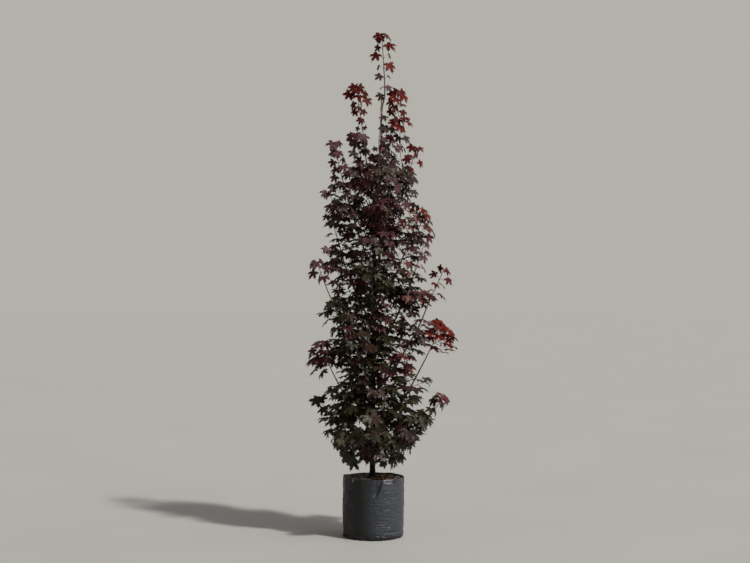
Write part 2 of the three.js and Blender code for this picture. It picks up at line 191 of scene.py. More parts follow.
def makeDustGroup():
    # A mask for dust, which settles on faces that look up and in broken patches
    group, asked, result = newGroup("settledDust", {"Amount": 0.5, "Scale": 30.0}, {"Mask": "Float"})
    geometry = addNode(group, "ShaderNodeNewGeometry")
    split = addNode(group, "ShaderNodeSeparateXYZ", {0: geometry.outputs["Normal"]})
    facing = addNode(group, "ShaderNodeMapRange", {
        "Value": split.outputs["Z"], "From Min": -0.2, "From Max": 0.9})
    place = addNode(group, "ShaderNodeTexCoord")
    noise = addNode(group, "ShaderNodeTexNoise", {
        "Vector": place.outputs["Object"], "Scale": asked["Scale"], "Detail": 6.0, "Roughness": 0.65})
    patches = addNode(group, "ShaderNodeMapRange", {
        "Value": noise.outputs["Fac"], "From Min": 0.42, "From Max": 0.68})
    both = addNode(group, "ShaderNodeMath", {
        0: facing.outputs["Result"], 1: patches.outputs["Result"]}, operation="MULTIPLY")
    scaled = addNode(group, "ShaderNodeMath", {
        0: both.outputs[0], 1: asked["Amount"]}, operation="MULTIPLY", use_clamp=True)
    setInputs(group, result, {"Mask": scaled.outputs[0]})
    return group


def makeFadeGroup():
    # A mask that rises from 0 to 1 between two places along a way
    group, asked, result = newGroup(
        "placeFade", {"Way": (0, 0, 1), "Low": 0.0, "High": 1.0}, {"Mask": "Float"})
    place = addNode(group, "ShaderNodeTexCoord")
    along = addNode(group, "ShaderNodeVectorMath", {
        0: place.outputs["Object"], 1: asked["Way"]}, operation="DOT_PRODUCT")
    levels = addNode(group, "ShaderNodeMapRange", {
        "Value": along.outputs["Value"], "From Min": asked["Low"], "From Max": asked["High"],
    }, interpolation_type="SMOOTHSTEP")
    setInputs(group, result, {"Mask": levels.outputs["Result"]})
    return group


groups = {"mottle": makeMottleGroup(), "grain": makeGrainGroup(), "dust": makeDustGroup(),
          "fade": makeFadeGroup()}


def placeGroup(tree, name, inputs):
    return addNode(tree, "ShaderNodeGroup", inputs, node_tree=groups[name])


def colorOver(tree, color, other, mask):
    mix = addNode(tree, "ShaderNodeMix", {
        "Factor": mask.outputs["Mask"], "A": color, "B": (*other, 1)}, data_type="RGBA")
    return mix.outputs["Result"]


def makeFinish(name, finish):
    # Mottled colour and roughness, painted light and shade laid over along a way where the row lists them,
    # dust on top and a fine grain, from one row of a piece's dictionary
    material = bpy.data.materials.new(name)
    material.use_nodes = True
    tree = material.node_tree
    stretch = finish.get("stretch", (1, 1, 1))
    mottle = placeGroup(tree, "mottle", {
        "First Color": (*finish["first"], 1), "Second Color": (*finish["second"], 1), "Stretch": stretch,
        "Scale": finish["patch"]})
    color = mottle.outputs["Color"]
    for way, low, high, other in finish.get("paintedLightAndShade", []):
        fade = placeGroup(tree, "fade", {"Way": way, "Low": low, "High": high})
        color = colorOver(tree, color, other, fade)
    if "dust" in finish:
        amount, scale, other = finish["dust"]
        dust = placeGroup(tree, "dust", {"Amount": amount, "Scale": scale})
        color = colorOver(tree, color, other, dust)
    smooth, dull = finish["rough"]
    rough = addNode(tree, "ShaderNodeMapRange", {
        "Value": mottle.outputs["Mask"], "To Min": smooth, "To Max": dull})
    grain = placeGroup(tree, "grain", {
        "Stretch": finish.get("grainStretch", stretch), "Scale": finish["grain"], "Fine Share": 0.45})
    strength, distance = finish["bump"]
    bump = addNode(tree, "ShaderNodeBump", {
        "Height": grain.outputs["Height"], "Strength": strength, "Distance": distance})
    setInputs(tree, tree.nodes["Principled BSDF"], {
        **finish.get("shader", {}), "Base Color": color, "Roughness": rough.outputs["Result"],
        "Normal": bump.outputs["Normal"]})
    return material


# Mesh helpers: a part is vertices with blocks of faces, each block with its place in the piece's materials

def unit(way):
    return way / np.linalg.norm(way)


def turned(way, axis, degrees):
    angle = math.radians(degrees)
    return (way * math.cos(angle) + np.cross(axis, way) * math.sin(angle)
            + axis * np.dot(axis, way) * (1 - math.cos(angle)))


def outward(turn):
    return np.array([math.cos(math.radians(turn)), math.sin(math.radians(turn)), 0.0])


def gridFaces(rows, columns, closed):
    # Quads of a grid of points; a closed grid's last column meets its first
    across = columns if closed else columns - 1
    i, j = np.meshgrid(np.arange(rows - 1), np.arange(across), indexing="ij")
    following = (j + 1) % columns
    return np.stack([i * columns + j, i * columns + following,
                     (i + 1) * columns + following, (i + 1) * columns + j], axis=-1).reshape(-1, 4)


def capFaces(ring, middle, flip):
    following = np.roll(ring, -1)
    ends = [following, ring] if flip else [ring, following]
    return np.stack([*ends, np.full(len(ring), middle)], axis=-1)


def closedGrid(points):
    # A tube of rings with a point in the middle of each end
    rows, columns = points.shape[:2]
    verts = np.concatenate([points.reshape(-1, 3), points[0].mean(0)[None], points[-1].mean(0)[None]])
    count = rows * columns
    start = capFaces(np.arange(columns), count, True)
    end = capFaces(np.arange(columns) + (rows - 1) * columns, count + 1, False)
    return {"verts": verts, "faces": [(gridFaces(rows, columns, True), 0), (start, 0), (end, 0)]}


def tube(points, radii, sides, relief=None):
    # Rings along a path without twist; relief gives the height above the radius from the run and the turn
    headings = np.gradient(points, axis=0)
    headings /= np.linalg.norm(headings, axis=1)[:, None]
    level = np.array([0.0, 1.0, 0.0]) if abs(headings[0][1]) < 0.9 else np.array([1.0, 0.0, 0.0])
    firsts = []
    for heading in headings:
        level = unit(level - heading * np.dot(level, heading))
        firsts.append(level)
    firsts = np.array(firsts)
    seconds = np.cross(headings, firsts)
    turns = 2 * math.pi * np.arange(sides) / sides
    reach = np.repeat(np.asarray(radii, float)[:, None], sides, axis=1)
    if relief is not None:
        run = np.concatenate([[0], np.cumsum(np.linalg.norm(np.diff(points, axis=0), axis=1))])
        reach = reach + relief(run[:, None], turns[None, :])
    rings = (points[:, None, :] + (reach * np.cos(turns))[..., None] * firsts[:, None, :]
             + (reach * np.sin(turns))[..., None] * seconds[:, None, :])
    return closedGrid(rings)


def makePiece(name, parts, materials, replaces, sharp=None):
    mesh = bpy.data.meshes.new(name)
    faces, slots, start = [], [], 0
    for part in parts:
        for block, place in part["faces"]:
            faces.extend((block + start).tolist())
            slots.extend([place] * len(block))
        start += len(part["verts"])
    mesh.from_pydata(np.concatenate([part["verts"] for part in parts]).tolist(), [], faces)
    for material in materials:
        mesh.materials.append(material)
    mesh.polygons.foreach_set("material_index", slots)
    mesh.shade_smooth()
    if sharp:
        mesh.set_sharp_from_angle(angle=math.radians(sharp))
    piece = bpy.data.objects.new(name, mesh)
    bpy.context.scene.collection.objects.link(piece)
    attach(piece, "root")
    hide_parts(*replaces)


latticeSize = 64


def latticeNoise(x, y, seed, wrap=latticeSize):
    # Smooth noise from -1 to 1; x comes round again after wrap steps
    table = np.random.default_rng(seed).uniform(-1, 1, (latticeSize, latticeSize))
    i, j = np.floor(x).astype(int), np.floor(y).astype(int)
    fx, fy = x - i, y - j
    fx, fy = fx * fx * (3 - 2 * fx), fy * fy * (3 - 2 * fy)
    near, far = i % wrap % latticeSize, (i + 1) % wrap % latticeSize
    low, high = j % latticeSize, (j + 1) % latticeSize
    return ((table[near, low] * (1 - fx) + table[far, low] * fx) * (1 - fy)
            + (table[near, high] * (1 - fx) + table[far, high] * fx) * fy)


stream = {
    "times": 1664525, "plus": 1013904223, "size": 2 ** 32, "seedTimes": 2654435, "seedPlus": 97, "skipped": 4,
}


class Draws:
    # The seeded stream of numbers that the solids' leaves are drawn from
    def __init__(self, seed):
        self.state = (seed * stream["seedTimes"] + stream["seedPlus"]) % stream["size"]
        for _ in range(stream["skipped"]):
            self.share()

    def share(self):
        self.state = (stream["times"] * self.state + stream["plus"]) % stream["size"]
        return self.state / stream["size"]

    def around(self, spread):
        return (self.share() * 2 - 1) * spread

    def pick(self, choices):
        return choices[min(int(self.share() * len(choices)), len(choices) - 1)]


# Paths

def makePath(points):
    points = np.array(points, float)
    run = np.concatenate([[0], np.cumsum(np.linalg.norm(np.diff(points, axis=0), axis=1))])
    return {"points": points, "run": run, "length": run[-1]}


def pointAt(path, at):
    want = np.clip(at, 0, 1) * path["length"]
    return np.stack([np.interp(want, path["run"], path["points"][:, k]) for k in range(3)], axis=-1)


def headingAt(path, at):
    near = 0.01  # on either side, as a share of the path
    return unit(pointAt(path, min(1, at + near)) - pointAt(path, max(0, at - near)))


def bentPath(start, elbow, end, count=40):
    t = np.linspace(0, 1, count)[:, None]
    return makePath(start * (1 - t) ** 2 + 2 * elbow * t * (1 - t) + end * t ** 2)


def smoothPath(corners, steps=16):
    # A smooth curve through all of its corners
    ends = np.array([2 * corners[0] - corners[1], *corners, 2 * corners[-1] - corners[-2]])
    t = np.linspace(0, 1, steps, endpoint=False)[:, None]
    runs = [0.5 * (2 * b + (c - a) * t + (2 * a - 5 * b + 4 * c - d) * t ** 2
                   + (3 * b - a - 3 * c + d) * t ** 3)
            for a, b, c, d in zip(ends, ends[1:], ends[2:], ends[3:])]
    return makePath(np.concatenate([*runs, ends[-2][None]]))


def lerp(first, last, share):
    return first + (last - first) * share


# Trunk and limbs, by the same rule and sizes as the solids

trunk = {
    "foot": trunkLow.z, "tip": trunkHigh.z, "footX": -0.006, "lean": 0.026,
    "bend": 0.032, "bendFrom": 2.050, "bendTo": 2.500, "sway": 0.007, "sways": 3,
    "footRadius": 0.0165, "tipRadius": 0.0044, "flare": 0.012, "flareHeight": 0.042,
    "ribs": 5, "ribDepth": 0.16, "sides": 40, "step": 0.0042,
}
leader = {
    "fork": 2.642, "tip": 3.075, "turn": 8, "standOff": 0.019, "aboveOff": 0.013, "tipOff": 0.002,
    "footRadius": 0.0046, "bareShare": 0.12, "thin": (0.12, 0.50), "facing": 25,
}
limb = {
    "footRadius": 0.0032, "girthByLength": 0.0062, "tipRadius": 0.0015, "trunkShare": 0.62,
    "elbowOut": 0.44, "elbowUp": 0.24, "sideElbow": (0.62, 0.62, 0.40), "bareShare": 0.27,
    "bareLength": 0.085, "waver": 0.007, "wavers": 5, "waverShift": 3, "sides": 10, "step": 0.006,
    "collar": 0.55, "collarFrom": 0.006, "collarFade": 0.016, "swell": 0.20, "swellWide": 0.005,
    "rough": 0.00022, "roughRound": 6, "roughLength": 0.012,
}
seeds = {"right": 11, "left": 31, "depth": 51, "top": 71, "inner": 91, "side": 111}
# Each limb by the height of its fork, the height of its tip, its reach and its turn from the right. Its
# habit, where it has one: the tint of its tip, runs of it that are bare or thinly leaved, as shares, how
# many nodes crowd at its tip, and how widely the others are spaced
rightLimbs = [
    (0.446, 0.850, 0.440, -14, {"spacing": 1.15, "tuft": 2}), (0.452, 0.600, 0.230, 24, {"spacing": 1.7}),
    (0.590, 1.290, 0.430, 10, {"tint": "red", "bare": (0.56, 0.80), "tuft": 4}),
    (0.880, 1.630, 0.440, -16, {"tint": "wine", "bare": (0.62, 0.78)}),
    (1.110, 1.800, 0.325, 16, {"tint": "plum"}), (1.370, 1.996, 0.290, -14, {"tint": "red", "tuft": 3}),
    (1.740, 2.380, 0.258, 14, {"tint": "wine", "tuft": 1}),
    (2.090, 2.730, 0.146, -12, {"tint": "wine", "bare": (0.62, 0.80), "tuft": 5}),
]
leftLimbs = [
    (0.490, 0.822, 0.330, 168, {"spacing": 1.15}), (0.462, 0.590, 0.196, 205, {"spacing": 1.6}),
    (0.640, 1.170, 0.330, 192, {"tint": "plum", "bare": (0.55, 0.76), "tuft": 5}),
    (0.790, 1.420, 0.252, 164, {}), (1.010, 1.670, 0.350, 194, {"tint": "plum", "bare": (0.62, 0.84)}),
    (1.290, 1.960, 0.268, 170, {"tint": "plum"}), (1.640, 2.400, 0.245, 188, {"tint": "plum"}),
    (2.010, 2.765, 0.114, 174, {"tint": "wine", "thin": (0.60, 0.84), "tuft": 6}),
]
depthLimbs = {
    "count": 9, "fork": 0.498, "step": 0.187, "lowRise": 0.250, "rise": 0.560, "riseBy": 3, "reach": 0.300,
    "topReach": 0.165, "frontTurn": 270, "backTurn": 90, "swing": 32, "swingStep": 2.4,
    "spacing": 1.25, "lowSpacing": 1.8, "lowCount": 2, "topThin": (0.40, 1),
}
innerShoots = [
    (0.700, 1.010, 0.120, -42, {}), (1.010, 1.330, 0.120, -48, {}), (1.420, 1.730, 0.110, 222, {}),
    (1.830, 2.140, 0.100, 200, {}), (2.270, 2.500, 0.070, -40, {"thin": (0, 1)}),
]

# Shoots on the limbs: the limb and the share of it that they leave at, where they end, and their habit
sideShoots = [
    ("right_7", 0.62, (0.165, -0.030, 2.555), {"tint": "wine", "spacing": 1.3, "tuft": 2}),
    ("right_6", 0.58, (0.300, -0.050, 1.955), {"tint": "rose", "spacing": 1.3, "tuft": 1}),
    ("right_5", 0.50, (0.330, -0.070, 1.480), {"tint": "rose", "tintAfter": 0.4, "spacing": 1.3, "tuft": 2}),
    ("right_3", 0.86, (0.462, 0.010, 1.245), {"tint": "red", "tintAfter": -1, "tuft": 1}),
    ("left_8", 0.26, (-0.108, -0.045, 2.455), {"tint": "plum", "spacing": 1.5, "tuft": 1}),
    ("left_7", 0.42, (-0.270, -0.030, 2.105), {"tint": "plum", "spacing": 1.3}),
    ("left_6", 0.42, (-0.265, -0.030, 1.755), {"tint": "plum", "spacing": 1.3}),
    ("left_3", 0.80, (-0.314, -0.020, 1.082), {"tint": "plum", "tintAfter": -1, "tuft": 2}),
]

# The habit of a limb that has none of its own. A run from 1 to 1 is no run at all
plainHabit = {
    "tint": None, "tintAfter": 0.76, "bare": (1, 1), "thin": (1, 1), "tuft": 0, "facing": None, "spacing": 1,
}


def trunkAt(height):
    share = (height - trunk["foot"]) / (trunk["tip"] - trunk["foot"])
    bent = np.clip((height - trunk["bendFrom"]) / (trunk["bendTo"] - trunk["bendFrom"]), 0, 1)
    bend = trunk["bend"] * bent * bent * (3 - 2 * bent)
    return np.stack([trunk["footX"] + trunk["lean"] * share + bend,
                     trunk["sway"] * np.sin(share * trunk["sways"] * math.pi), height], axis=-1)


def trunkRadius(height):
    share = np.clip((height - trunk["foot"]) / (trunk["tip"] - trunk["foot"]), 0, 1)
    flare = trunk["flare"] * np.exp(-(height - trunk["foot"]) / trunk["flareHeight"])
    return lerp(trunk["footRadius"], trunk["tipRadius"], share) + flare


def wavered(path, seed):
    # A limb strays a little from its smooth curve between its ends
    shares = path["run"] / path["length"]
    hold = limb["waver"] * np.sin(math.pi * shares)
    along = shares * limb["wavers"] + limb["waverShift"]
    strays = [hold * latticeNoise(along, 0 * shares + axis, seed) for axis in range(3)]
    return makePath(path["points"] + np.stack(strays, axis=-1))


def makeLimb(name, sizes, seed, bough=True):
    fork, tip, reach, turn, habit = sizes
    start = trunkAt(fork)
    elbow = start + outward(turn) * reach * limb["elbowOut"] + up * (tip - fork) * limb["elbowUp"]
    end = start + outward(turn) * reach
    end[2] = tip
    path = wavered(bentPath(start, elbow, end), seed)
    girth = limb["footRadius"] + limb["girthByLength"] * path["length"]
    return {
        "name": name, "mass": "foliage_" + name, "bough": "bough_" + name if bough else None, "path": path,
        "seed": seed, "turn": turn, "footRadius": min(girth, limb["trunkShare"] * trunkRadius(fork)),
        **plainHabit, **habit,
        "bareShare": min(limb["bareShare"], limb["bareLength"] / path["length"]) if bough else 0.0,
    }


def makeLimbs(side, rows, bough=True):
    return [makeLimb(f"{side}_{i + 1}", sizes, seeds[side] + i, bough) for i, sizes in enumerate(rows)]


def limbRadius(one, at):
    return lerp(one["footRadius"], limb["tipRadius"], at)


def makeLeader():
    out = outward(leader["turn"])
    tip = trunkAt(trunk["tip"])
    above = tip + out * leader["aboveOff"]
    above[2] = lerp(trunk["tip"], leader["tip"], 0.5)
    end = tip + out * leader["tipOff"]
    end[2] = leader["tip"]
    path = smoothPath([trunkAt(leader["fork"]), tip + out * leader["standOff"], above, end])
    return {
        "name": "top", "mass": "foliage_top", "bough": "leader", "path": path, "seed": seeds["top"],
        **plainHabit, "tint": "wine",
        **{key: leader[key] for key in ("turn", "footRadius", "thin", "facing", "bareShare")},
    }


def makeDepthLimbs():
    # Limbs to the front and the back by turns, shorter and steeper towards the top
    made = []
    for i in range(depthLimbs["count"]):
        share = i / (depthLimbs["count"] - 1)
        side = "front" if i % 2 == 0 else "back"
        fork = depthLimbs["fork"] + depthLimbs["step"] * i
        rise = lerp(depthLimbs["lowRise"], depthLimbs["rise"], min(1, share * depthLimbs["riseBy"]))
        turn = depthLimbs[side + "Turn"] + depthLimbs["swing"] * math.sin(i * depthLimbs["swingStep"])
        reach = lerp(depthLimbs["reach"], depthLimbs["topReach"], share)
        habit = {"spacing": depthLimbs["lowSpacing" if i < depthLimbs["lowCount"] else "spacing"],
                 "thin": depthLimbs["topThin"] if share == 1 else plainHabit["thin"]}
        sizes = (fork, fork + rise, reach, turn, habit)
        made.append(makeLimb(f"{side}_{i // 2 + 1}", sizes, seeds["depth"] + i))
    return made


def makeSideShoot(parent, at, end, habit, seed):
    start, end = pointAt(parent["path"], at), np.array(end)
    path = wavered(bentPath(start, lerp(start, end, limb["sideElbow"]), end), seed)
    foot = limb["trunkShare"] * limbRadius(parent, at)
    return {**parent, "bough": None, "path": path, "seed": seed, "footRadius": foot,
            **plainHabit, **habit, "bareShare": 0.0}


limbs = [
    *makeLimbs("right", rightLimbs), *makeLimbs("left", leftLimbs), *makeDepthLimbs(),
    *makeLimbs("inner", innerShoots, bough=False), makeLeader(),
]
limbByName = {one["name"]: one for one in limbs}
limbs += [makeSideShoot(limbByName[name], at, end, habit, seeds["side"] + i)
          for i, (name, at, end, habit) in enumerate(sideShoots)]


# Bark: relief is in the mesh, as raised pores, collars round the forks, scars and fine furrows

bark = {
    "seed": 5, "furrowSeed": 3, "lumpSeed": 4,
    "pores": 420, "poreWide": 0.0034, "poreTall": 0.0011, "poreRise": 0.0006,
    "furrow": 0.0007, "furrowsRound": 11, "furrowLength": 0.055, "furrowTo": 0.9,
    "lump": 0.0007, "lumpsRound": 5, "lumpLength": 0.03, "collarRise": 0.0042, "collarSize": 0.014,
    "scars": 9, "scarSize": 0.0085, "scarRise": 0.0016, "scarFlat": 0.7, "scarRuns": (0.2, 0.8),
    "scarTurns": 6.28, "pitShare": 0.5, "pitDepth": 1.3,
    "ringEvery": 0.31, "ringShift": 0.06, "ringRise": 0.0007, "ringSize": 0.0035,
}
# The bark is painted near black below 1.60 m, fading to its own colour at 2.36 m: painted shade, the crown's
# shade on the lower trunk
barkFinish = {
    "first": (0.200, 0.160, 0.130), "second": (0.400, 0.335, 0.280), "stretch": (1, 1, 0.35), "patch": 34.0,
    "paintedLightAndShade": [((0, 0, -1), -2.36, -1.60, (0.0050, 0.0034, 0.0020))], "shader": {"Specular IOR Level": 0.10},
    "rough": (0.72, 0.9), "grain": 260.0, "grainStretch": (1, 1, 0.3), "bump": (0.6, 0.0008),
    "dust": (0.1, 45.0, (0.15, 0.145, 0.11)),
}
twigFinish = {
    "first": (0.046, 0.023, 0.018), "second": (0.118, 0.068, 0.050), "stretch": (1, 1, 0.5), "patch": 60.0,
    "rough": (0.5, 0.72), "grain": 500.0, "bump": (0.4, 0.0004),
}


def spots(run, turns, girth, places, wide, tall, rise):
    # Raised ovals at the given places: each is a run and a turn
    height = np.zeros(np.broadcast_shapes(run.shape, turns.shape))
    for spotRun, spotTurn in places:
        near = np.abs(run[:, 0] - spotRun) < 3 * tall
        across = np.angle(np.exp(1j * (turns - spotTurn))) * girth[near]
        height[near] += rise * np.exp(-(across / wide) ** 2 - ((run[near] - spotRun) / tall) ** 2)
    return height


def trunkRelief(run, turns):
    draw = np.random.default_rng(bark["seed"])
    girth = trunkRadius(trunk["foot"] + run)
    low = np.clip(1 - run / bark["furrowTo"], 0, 1)
    ribs = trunk["ribDepth"] * np.exp(-run / trunk["flareHeight"]) * girth * np.cos(trunk["ribs"] * turns)
    around = turns / (2 * math.pi)

    def noise(kind):
        count = bark[kind + "sRound"]
        return latticeNoise(around * count, run / bark[kind + "Length"], bark[kind + "Seed"], count)

    furrows, lumps = np.abs(noise("furrow")), noise("lump")
    total = run[-1, 0]
    scarFrom, scarTo = bark["scarRuns"]
    pores = np.stack([draw.uniform(0, total, bark["pores"]),
                      draw.uniform(0, 2 * math.pi, bark["pores"])], axis=1)
    scars = np.stack([draw.uniform(scarFrom, total * scarTo, bark["scars"]),
                      draw.uniform(0, bark["scarTurns"], bark["scars"])], axis=1)
    forks = [(one["path"]["points"][0][2] - trunk["foot"], math.radians(one["turn"]))
             for one in limbs if one["bough"]]
    ringAt = (run + bark["ringShift"]) % bark["ringEvery"] - bark["ringEvery"] / 2

    def raised(places, wide, tall, rise):
        return spots(run, turns, girth, places, wide, tall, rise)

    size, rise = bark["scarSize"], bark["scarRise"]
    pit = size * bark["pitShare"]
    return (ribs - bark["furrow"] * (1 - furrows) * low + bark["lump"] * lumps
            + raised(pores, bark["poreWide"], bark["poreTall"], bark["poreRise"])
            + raised(forks, bark["collarSize"], bark["collarSize"], bark["collarRise"])
            + raised(scars, size, size * bark["scarFlat"], rise)
            - raised(scars, pit, pit * bark["scarFlat"], rise * bark["pitDepth"])
            + bark["ringRise"] * np.exp(-(ringAt / bark["ringSize"]) ** 2))


def trunkPart():
    count = int((trunk["tip"] - trunk["foot"]) / trunk["step"])
    heights = np.linspace(trunk["foot"], trunk["tip"], count)
    return tube(trunkAt(heights), trunkRadius(heights), trunk["sides"], trunkRelief)


def limbPart(one, nodesAt):
    # One limb from inside the trunk to its tip, thicker at its collar and at each node
    path = one["path"]
    shares = np.linspace(0, 1, int(path["length"] / limb["step"]))
    run = shares * path["length"]
    collar = 1 + limb["collar"] * np.exp(-np.maximum(0, run - limb["collarFrom"]) / limb["collarFade"])
    swell = sum((limb["swell"] * np.exp(-((run - at * path["length"]) / limb["swellWide"]) ** 2)
                 for at in nodesAt), 0 * run)
    radii = limbRadius(one, shares) * (collar + swell)

    def relief(along, turns):
        count = limb["roughRound"]
        around = turns * count / (2 * math.pi)
        return limb["rough"] * latticeNoise(around, along / limb["roughLength"], one["seed"], count)

    return tube(pointAt(path, shares), radii, limb["sides"], relief)


# Leaves: five toothed lobes, each folded along its vein. Along and across are shares of a lobe's length

leaf = {
    "length": 0.062, "lengthSpread": 0.18, "lowSize": 1.08, "highSize": 0.98, "tipSize": 0.92,
    "thickness": 0.0006, "stalk": 0.044, "stalkSpread": 0.28, "stalkElbow": 0.55, "stalkRise": 0.16,
    "stalkInto": 0.002, "stalkRadius": 0.00085, "stalkGirth": (1.7, 1.15, 1.0, 0.95, 0.9, 0.95, 1.1),
    "stalkSides": 5, "innerDroop": 22, "tipDroop": 46, "droopSpread": 24, "variants": 14, "firstSeed": 200,
    # how large a leaf is at each height
    "sizeAt": [(0.44, 0.98), (0.66, 1.08), (0.95, 1.00), (1.30, 0.83), (2.15, 0.80), (2.50, 0.92),
               (2.88, 1.06), (3.08, 0.86)],
}
leafShape = {  # a lobe is its turn from the midrib, its share of the length and its teeth
    "lobes": [(0, 1.00, 2), (48, 0.92, 2), (102, 0.66, 1)],
    "sinuses": [(24, 0.50), (76, 0.44)], "sinusSpread": 2, "sinusShare": (0.85, 1.1),
    "base": [(138, 0.34), (164, 0.10)],
    "notches": [(0.79, 0.068), (0.63, 0.125)], "teeth": [(0.765, 0.215), (0.585, 0.225)],
    "neck": (0.50, 0.155),
    "fold": 0.36, "rimLift": 0.055, "sag": 0.15, "lobeBend": 0.20, "bendDraw": (-0.3, 1), "wave": 0.035,
    "turnSpread": 4, "lengthSpread": 0.08, "tipsKept": 7,
}


def leafVariant(seed):
    # One leaf of length 1 with its stalk at the origin, its midrib along X and its upper face up
    draw = np.random.default_rng(seed)
    corners, faces = [(0.0, 0.0, 0.0)], []

    def add(turn, size, along, across, bend):
        # A point of a lobe: along its vein and across from it, on a blade that is folded and sags
        angle = math.radians(turn)
        x = size * (along * math.cos(angle) - across * math.sin(angle))
        y = size * (along * math.sin(angle) + across * math.cos(angle))
        z = (leafShape["fold"] * abs(across) - leafShape["sag"] * (x * x + y * y) - bend * along ** 2
             + draw.uniform(-1, 1) * leafShape["wave"] * along)
        corners.append((x, y, z))
        return len(corners) - 1

    def polar(turn, share):
        x, y = share * math.cos(math.radians(turn)), share * math.sin(math.radians(turn))
        corners.append((x, y, leafShape["rimLift"] - leafShape["sag"] * share ** 2))
        return len(corners) - 1

    def sinus(side, turn, share):
        turn = turn + draw.uniform(-1, 1) * leafShape["sinusSpread"]
        return polar(side * turn, share * draw.uniform(*leafShape["sinusShare"]))

    # Sinuses lie between two lobes, bases below the lowest ones
    sinuses = {side: [sinus(side, turn, share) for turn, share in leafShape["sinuses"]] for side in (1, -1)}
    bases = {side: [polar(side * turn, share) for turn, share in leafShape["base"]] for side in (1, -1)}
    for order, (turn, share, teeth) in enumerate(leafShape["lobes"]):
        for side in ((1,) if order == 0 else (1, -1)):
            heading = side * turn + draw.uniform(-1, 1) * leafShape["turnSpread"]
            size = share * (1 + draw.uniform(-1, 1) * leafShape["lengthSpread"])
            bend = draw.uniform(*leafShape["bendDraw"]) * leafShape["lobeBend"]
            notches = [*leafShape["notches"][:teeth], leafShape["neck"]]
            veins = [add(heading, size, along, 0, bend) for along, _ in notches]
            tip = add(heading, size, 1, 0, bend)
            for flank in (1, -1):
                edges = [add(heading, size, along, flank * across, bend) for along, across in notches]
                points = [add(heading, size, along, flank * across, bend)
                          for along, across in leafShape["teeth"][:teeth]]
                inner = order == 0 or flank != side
                if order == 0:
                    root = sinuses[flank][0]
                elif inner:
                    root = sinuses[side][order - 1]
                else:
                    root = sinuses[side][order] if order < 2 else bases[side][0]
                made = [(tip, edges[0], veins[0])]
                for k, point in enumerate(points):
                    made.append((edges[k], point, edges[k + 1]))
                    made.append((veins[k], edges[k], edges[k + 1]))
                    made.append((veins[k], edges[k + 1], veins[k + 1]))
                made.append((veins[-1], edges[-1], root))
                made.append((veins[-1], root, 0))
                if order == 2 and not inner:
                    made.append((0, root, bases[side][1]))
                faces += [face if flank > 0 else face[::-1] for face in made]
    return thickBlade(np.array(corners), np.array(faces), leaf["thickness"] / leaf["length"])


def thickBlade(corners, faces, thickness):
    # Turns the blade's upper side up, then closes it with an under side and a rim
    a, b, c = (corners[faces[:, k]] for k in range(3))
    if np.cross(b - a, c - a)[:, 2].sum() < 0:
        faces = faces[:, ::-1]
    count = len(corners)
    edges = np.concatenate([faces[:, [0, 1]], faces[:, [1, 2]], faces[:, [2, 0]]])
    twins = {(second, first) for first, second in edges.tolist()}
    rim = np.array([edge for edge in edges.tolist() if tuple(edge) not in twins])
    walls = np.stack([rim[:, 1], rim[:, 0], rim[:, 0] + count, rim[:, 1] + count], axis=-1)
    under = corners - np.array([0, 0, thickness])
    farFirst = np.argsort(-np.hypot(corners[:, 0], corners[:, 1]))
    return {"verts": np.concatenate([corners, under]),
            "faces": [(faces, 0), (faces[:, ::-1] + count, 1), (walls, 1)],
            "tips": corners[farFirst[:leafShape["tipsKept"]]]}


leafVariants = [leafVariant(leaf["firstSeed"] + i) for i in range(leaf["variants"])]


# Tints are plain colours dealt out by spray: the upper side, the under side, the gloss and the slot

tints = {
    "shade": ((0.0188, 0.0180, 0.0070), (0.029, 0.0275, 0.0115), 0.24, "dark_leaf"),
    "bronze": ((0.029, 0.0225, 0.0090), (0.039, 0.030, 0.0130), 0.16, "dark_leaf"),
    "night": ((0.0250, 0.0104, 0.0078), (0.038, 0.0170, 0.0130), 0.24, "dark_leaf"),
    "plum": ((0.052, 0.0150, 0.0165), (0.068, 0.0240, 0.0250), 0.22, "dark_leaf"),
    "wine": ((0.060, 0.0036, 0.0026), (0.076, 0.0072, 0.0060), 0.10, "young_leaf"),
    "red": ((0.098, 0.0058, 0.0026), (0.112, 0.0105, 0.0062), 0.10, "young_leaf"),
    "rose": ((0.086, 0.0225, 0.0235), (0.100, 0.0310, 0.0320), 0.14, "young_leaf"),
}
leafFinish = {
    "patch": 28.0, "grain": 420.0, "bump": (0.35, 0.0005), "darker": 0.82, "lighter": 1.2,
    "upperRough": (0.38, 0.52), "underRough": (0.55, 0.72), "sharp": 48,
}
# Sprays of another tint on the side seen first: place to the right, height, how far it reaches, tint
accents = [
    (0.264, 1.484, 0.070, "rose"), (0.315, 1.525, 0.050, "red"), (-0.085, 1.503, 0.070, "rose"),
    (0.128, 1.658, 0.065, "rose"), (0.339, 1.900, 0.070, "plum"), (0.104, 1.068, 0.062, "rose"),
    (0.150, 0.620, 0.045, "rose"), (0.370, 0.760, 0.060, "bronze"), (0.430, 0.830, 0.050, "rose"),
    (-0.287, 2.110, 0.075, "plum"), (-0.280, 1.942, 0.080, "plum"), (0.240, 2.170, 0.080, "plum"),
    (0.265, 1.900, 0.060, "rose"), (0.190, 2.685, 0.045, "red"), (0.184, 2.506, 0.045, "red"),
    (0.289, 2.326, 0.050, "red"), (0.097, 2.914, 0.045, "red"), (-0.030, 2.120, 0.080, "plum"),
    (0.020, 1.870, 0.070, "plum"), (0.070, 1.290, 0.060, "plum"), (-0.110, 0.990, 0.060, "plum"),
]
# What a limb's sprays are dealt out of, by where it grows
decks = {
    "low": ["shade", "shade", "night", "shade", "shade", "bronze", "night", "shade"],
    "middle": ["night", "shade", "shade", "plum", "night", "shade", "night"],
    "upper": ["night", "plum", "night", "plum", "night", "night"],
    "bright": ["night", "shade", "plum", "night", "night", "bronze", "plum"],
    "high": ["night", "wine", "night", "plum", "night", "wine", "night"],
}
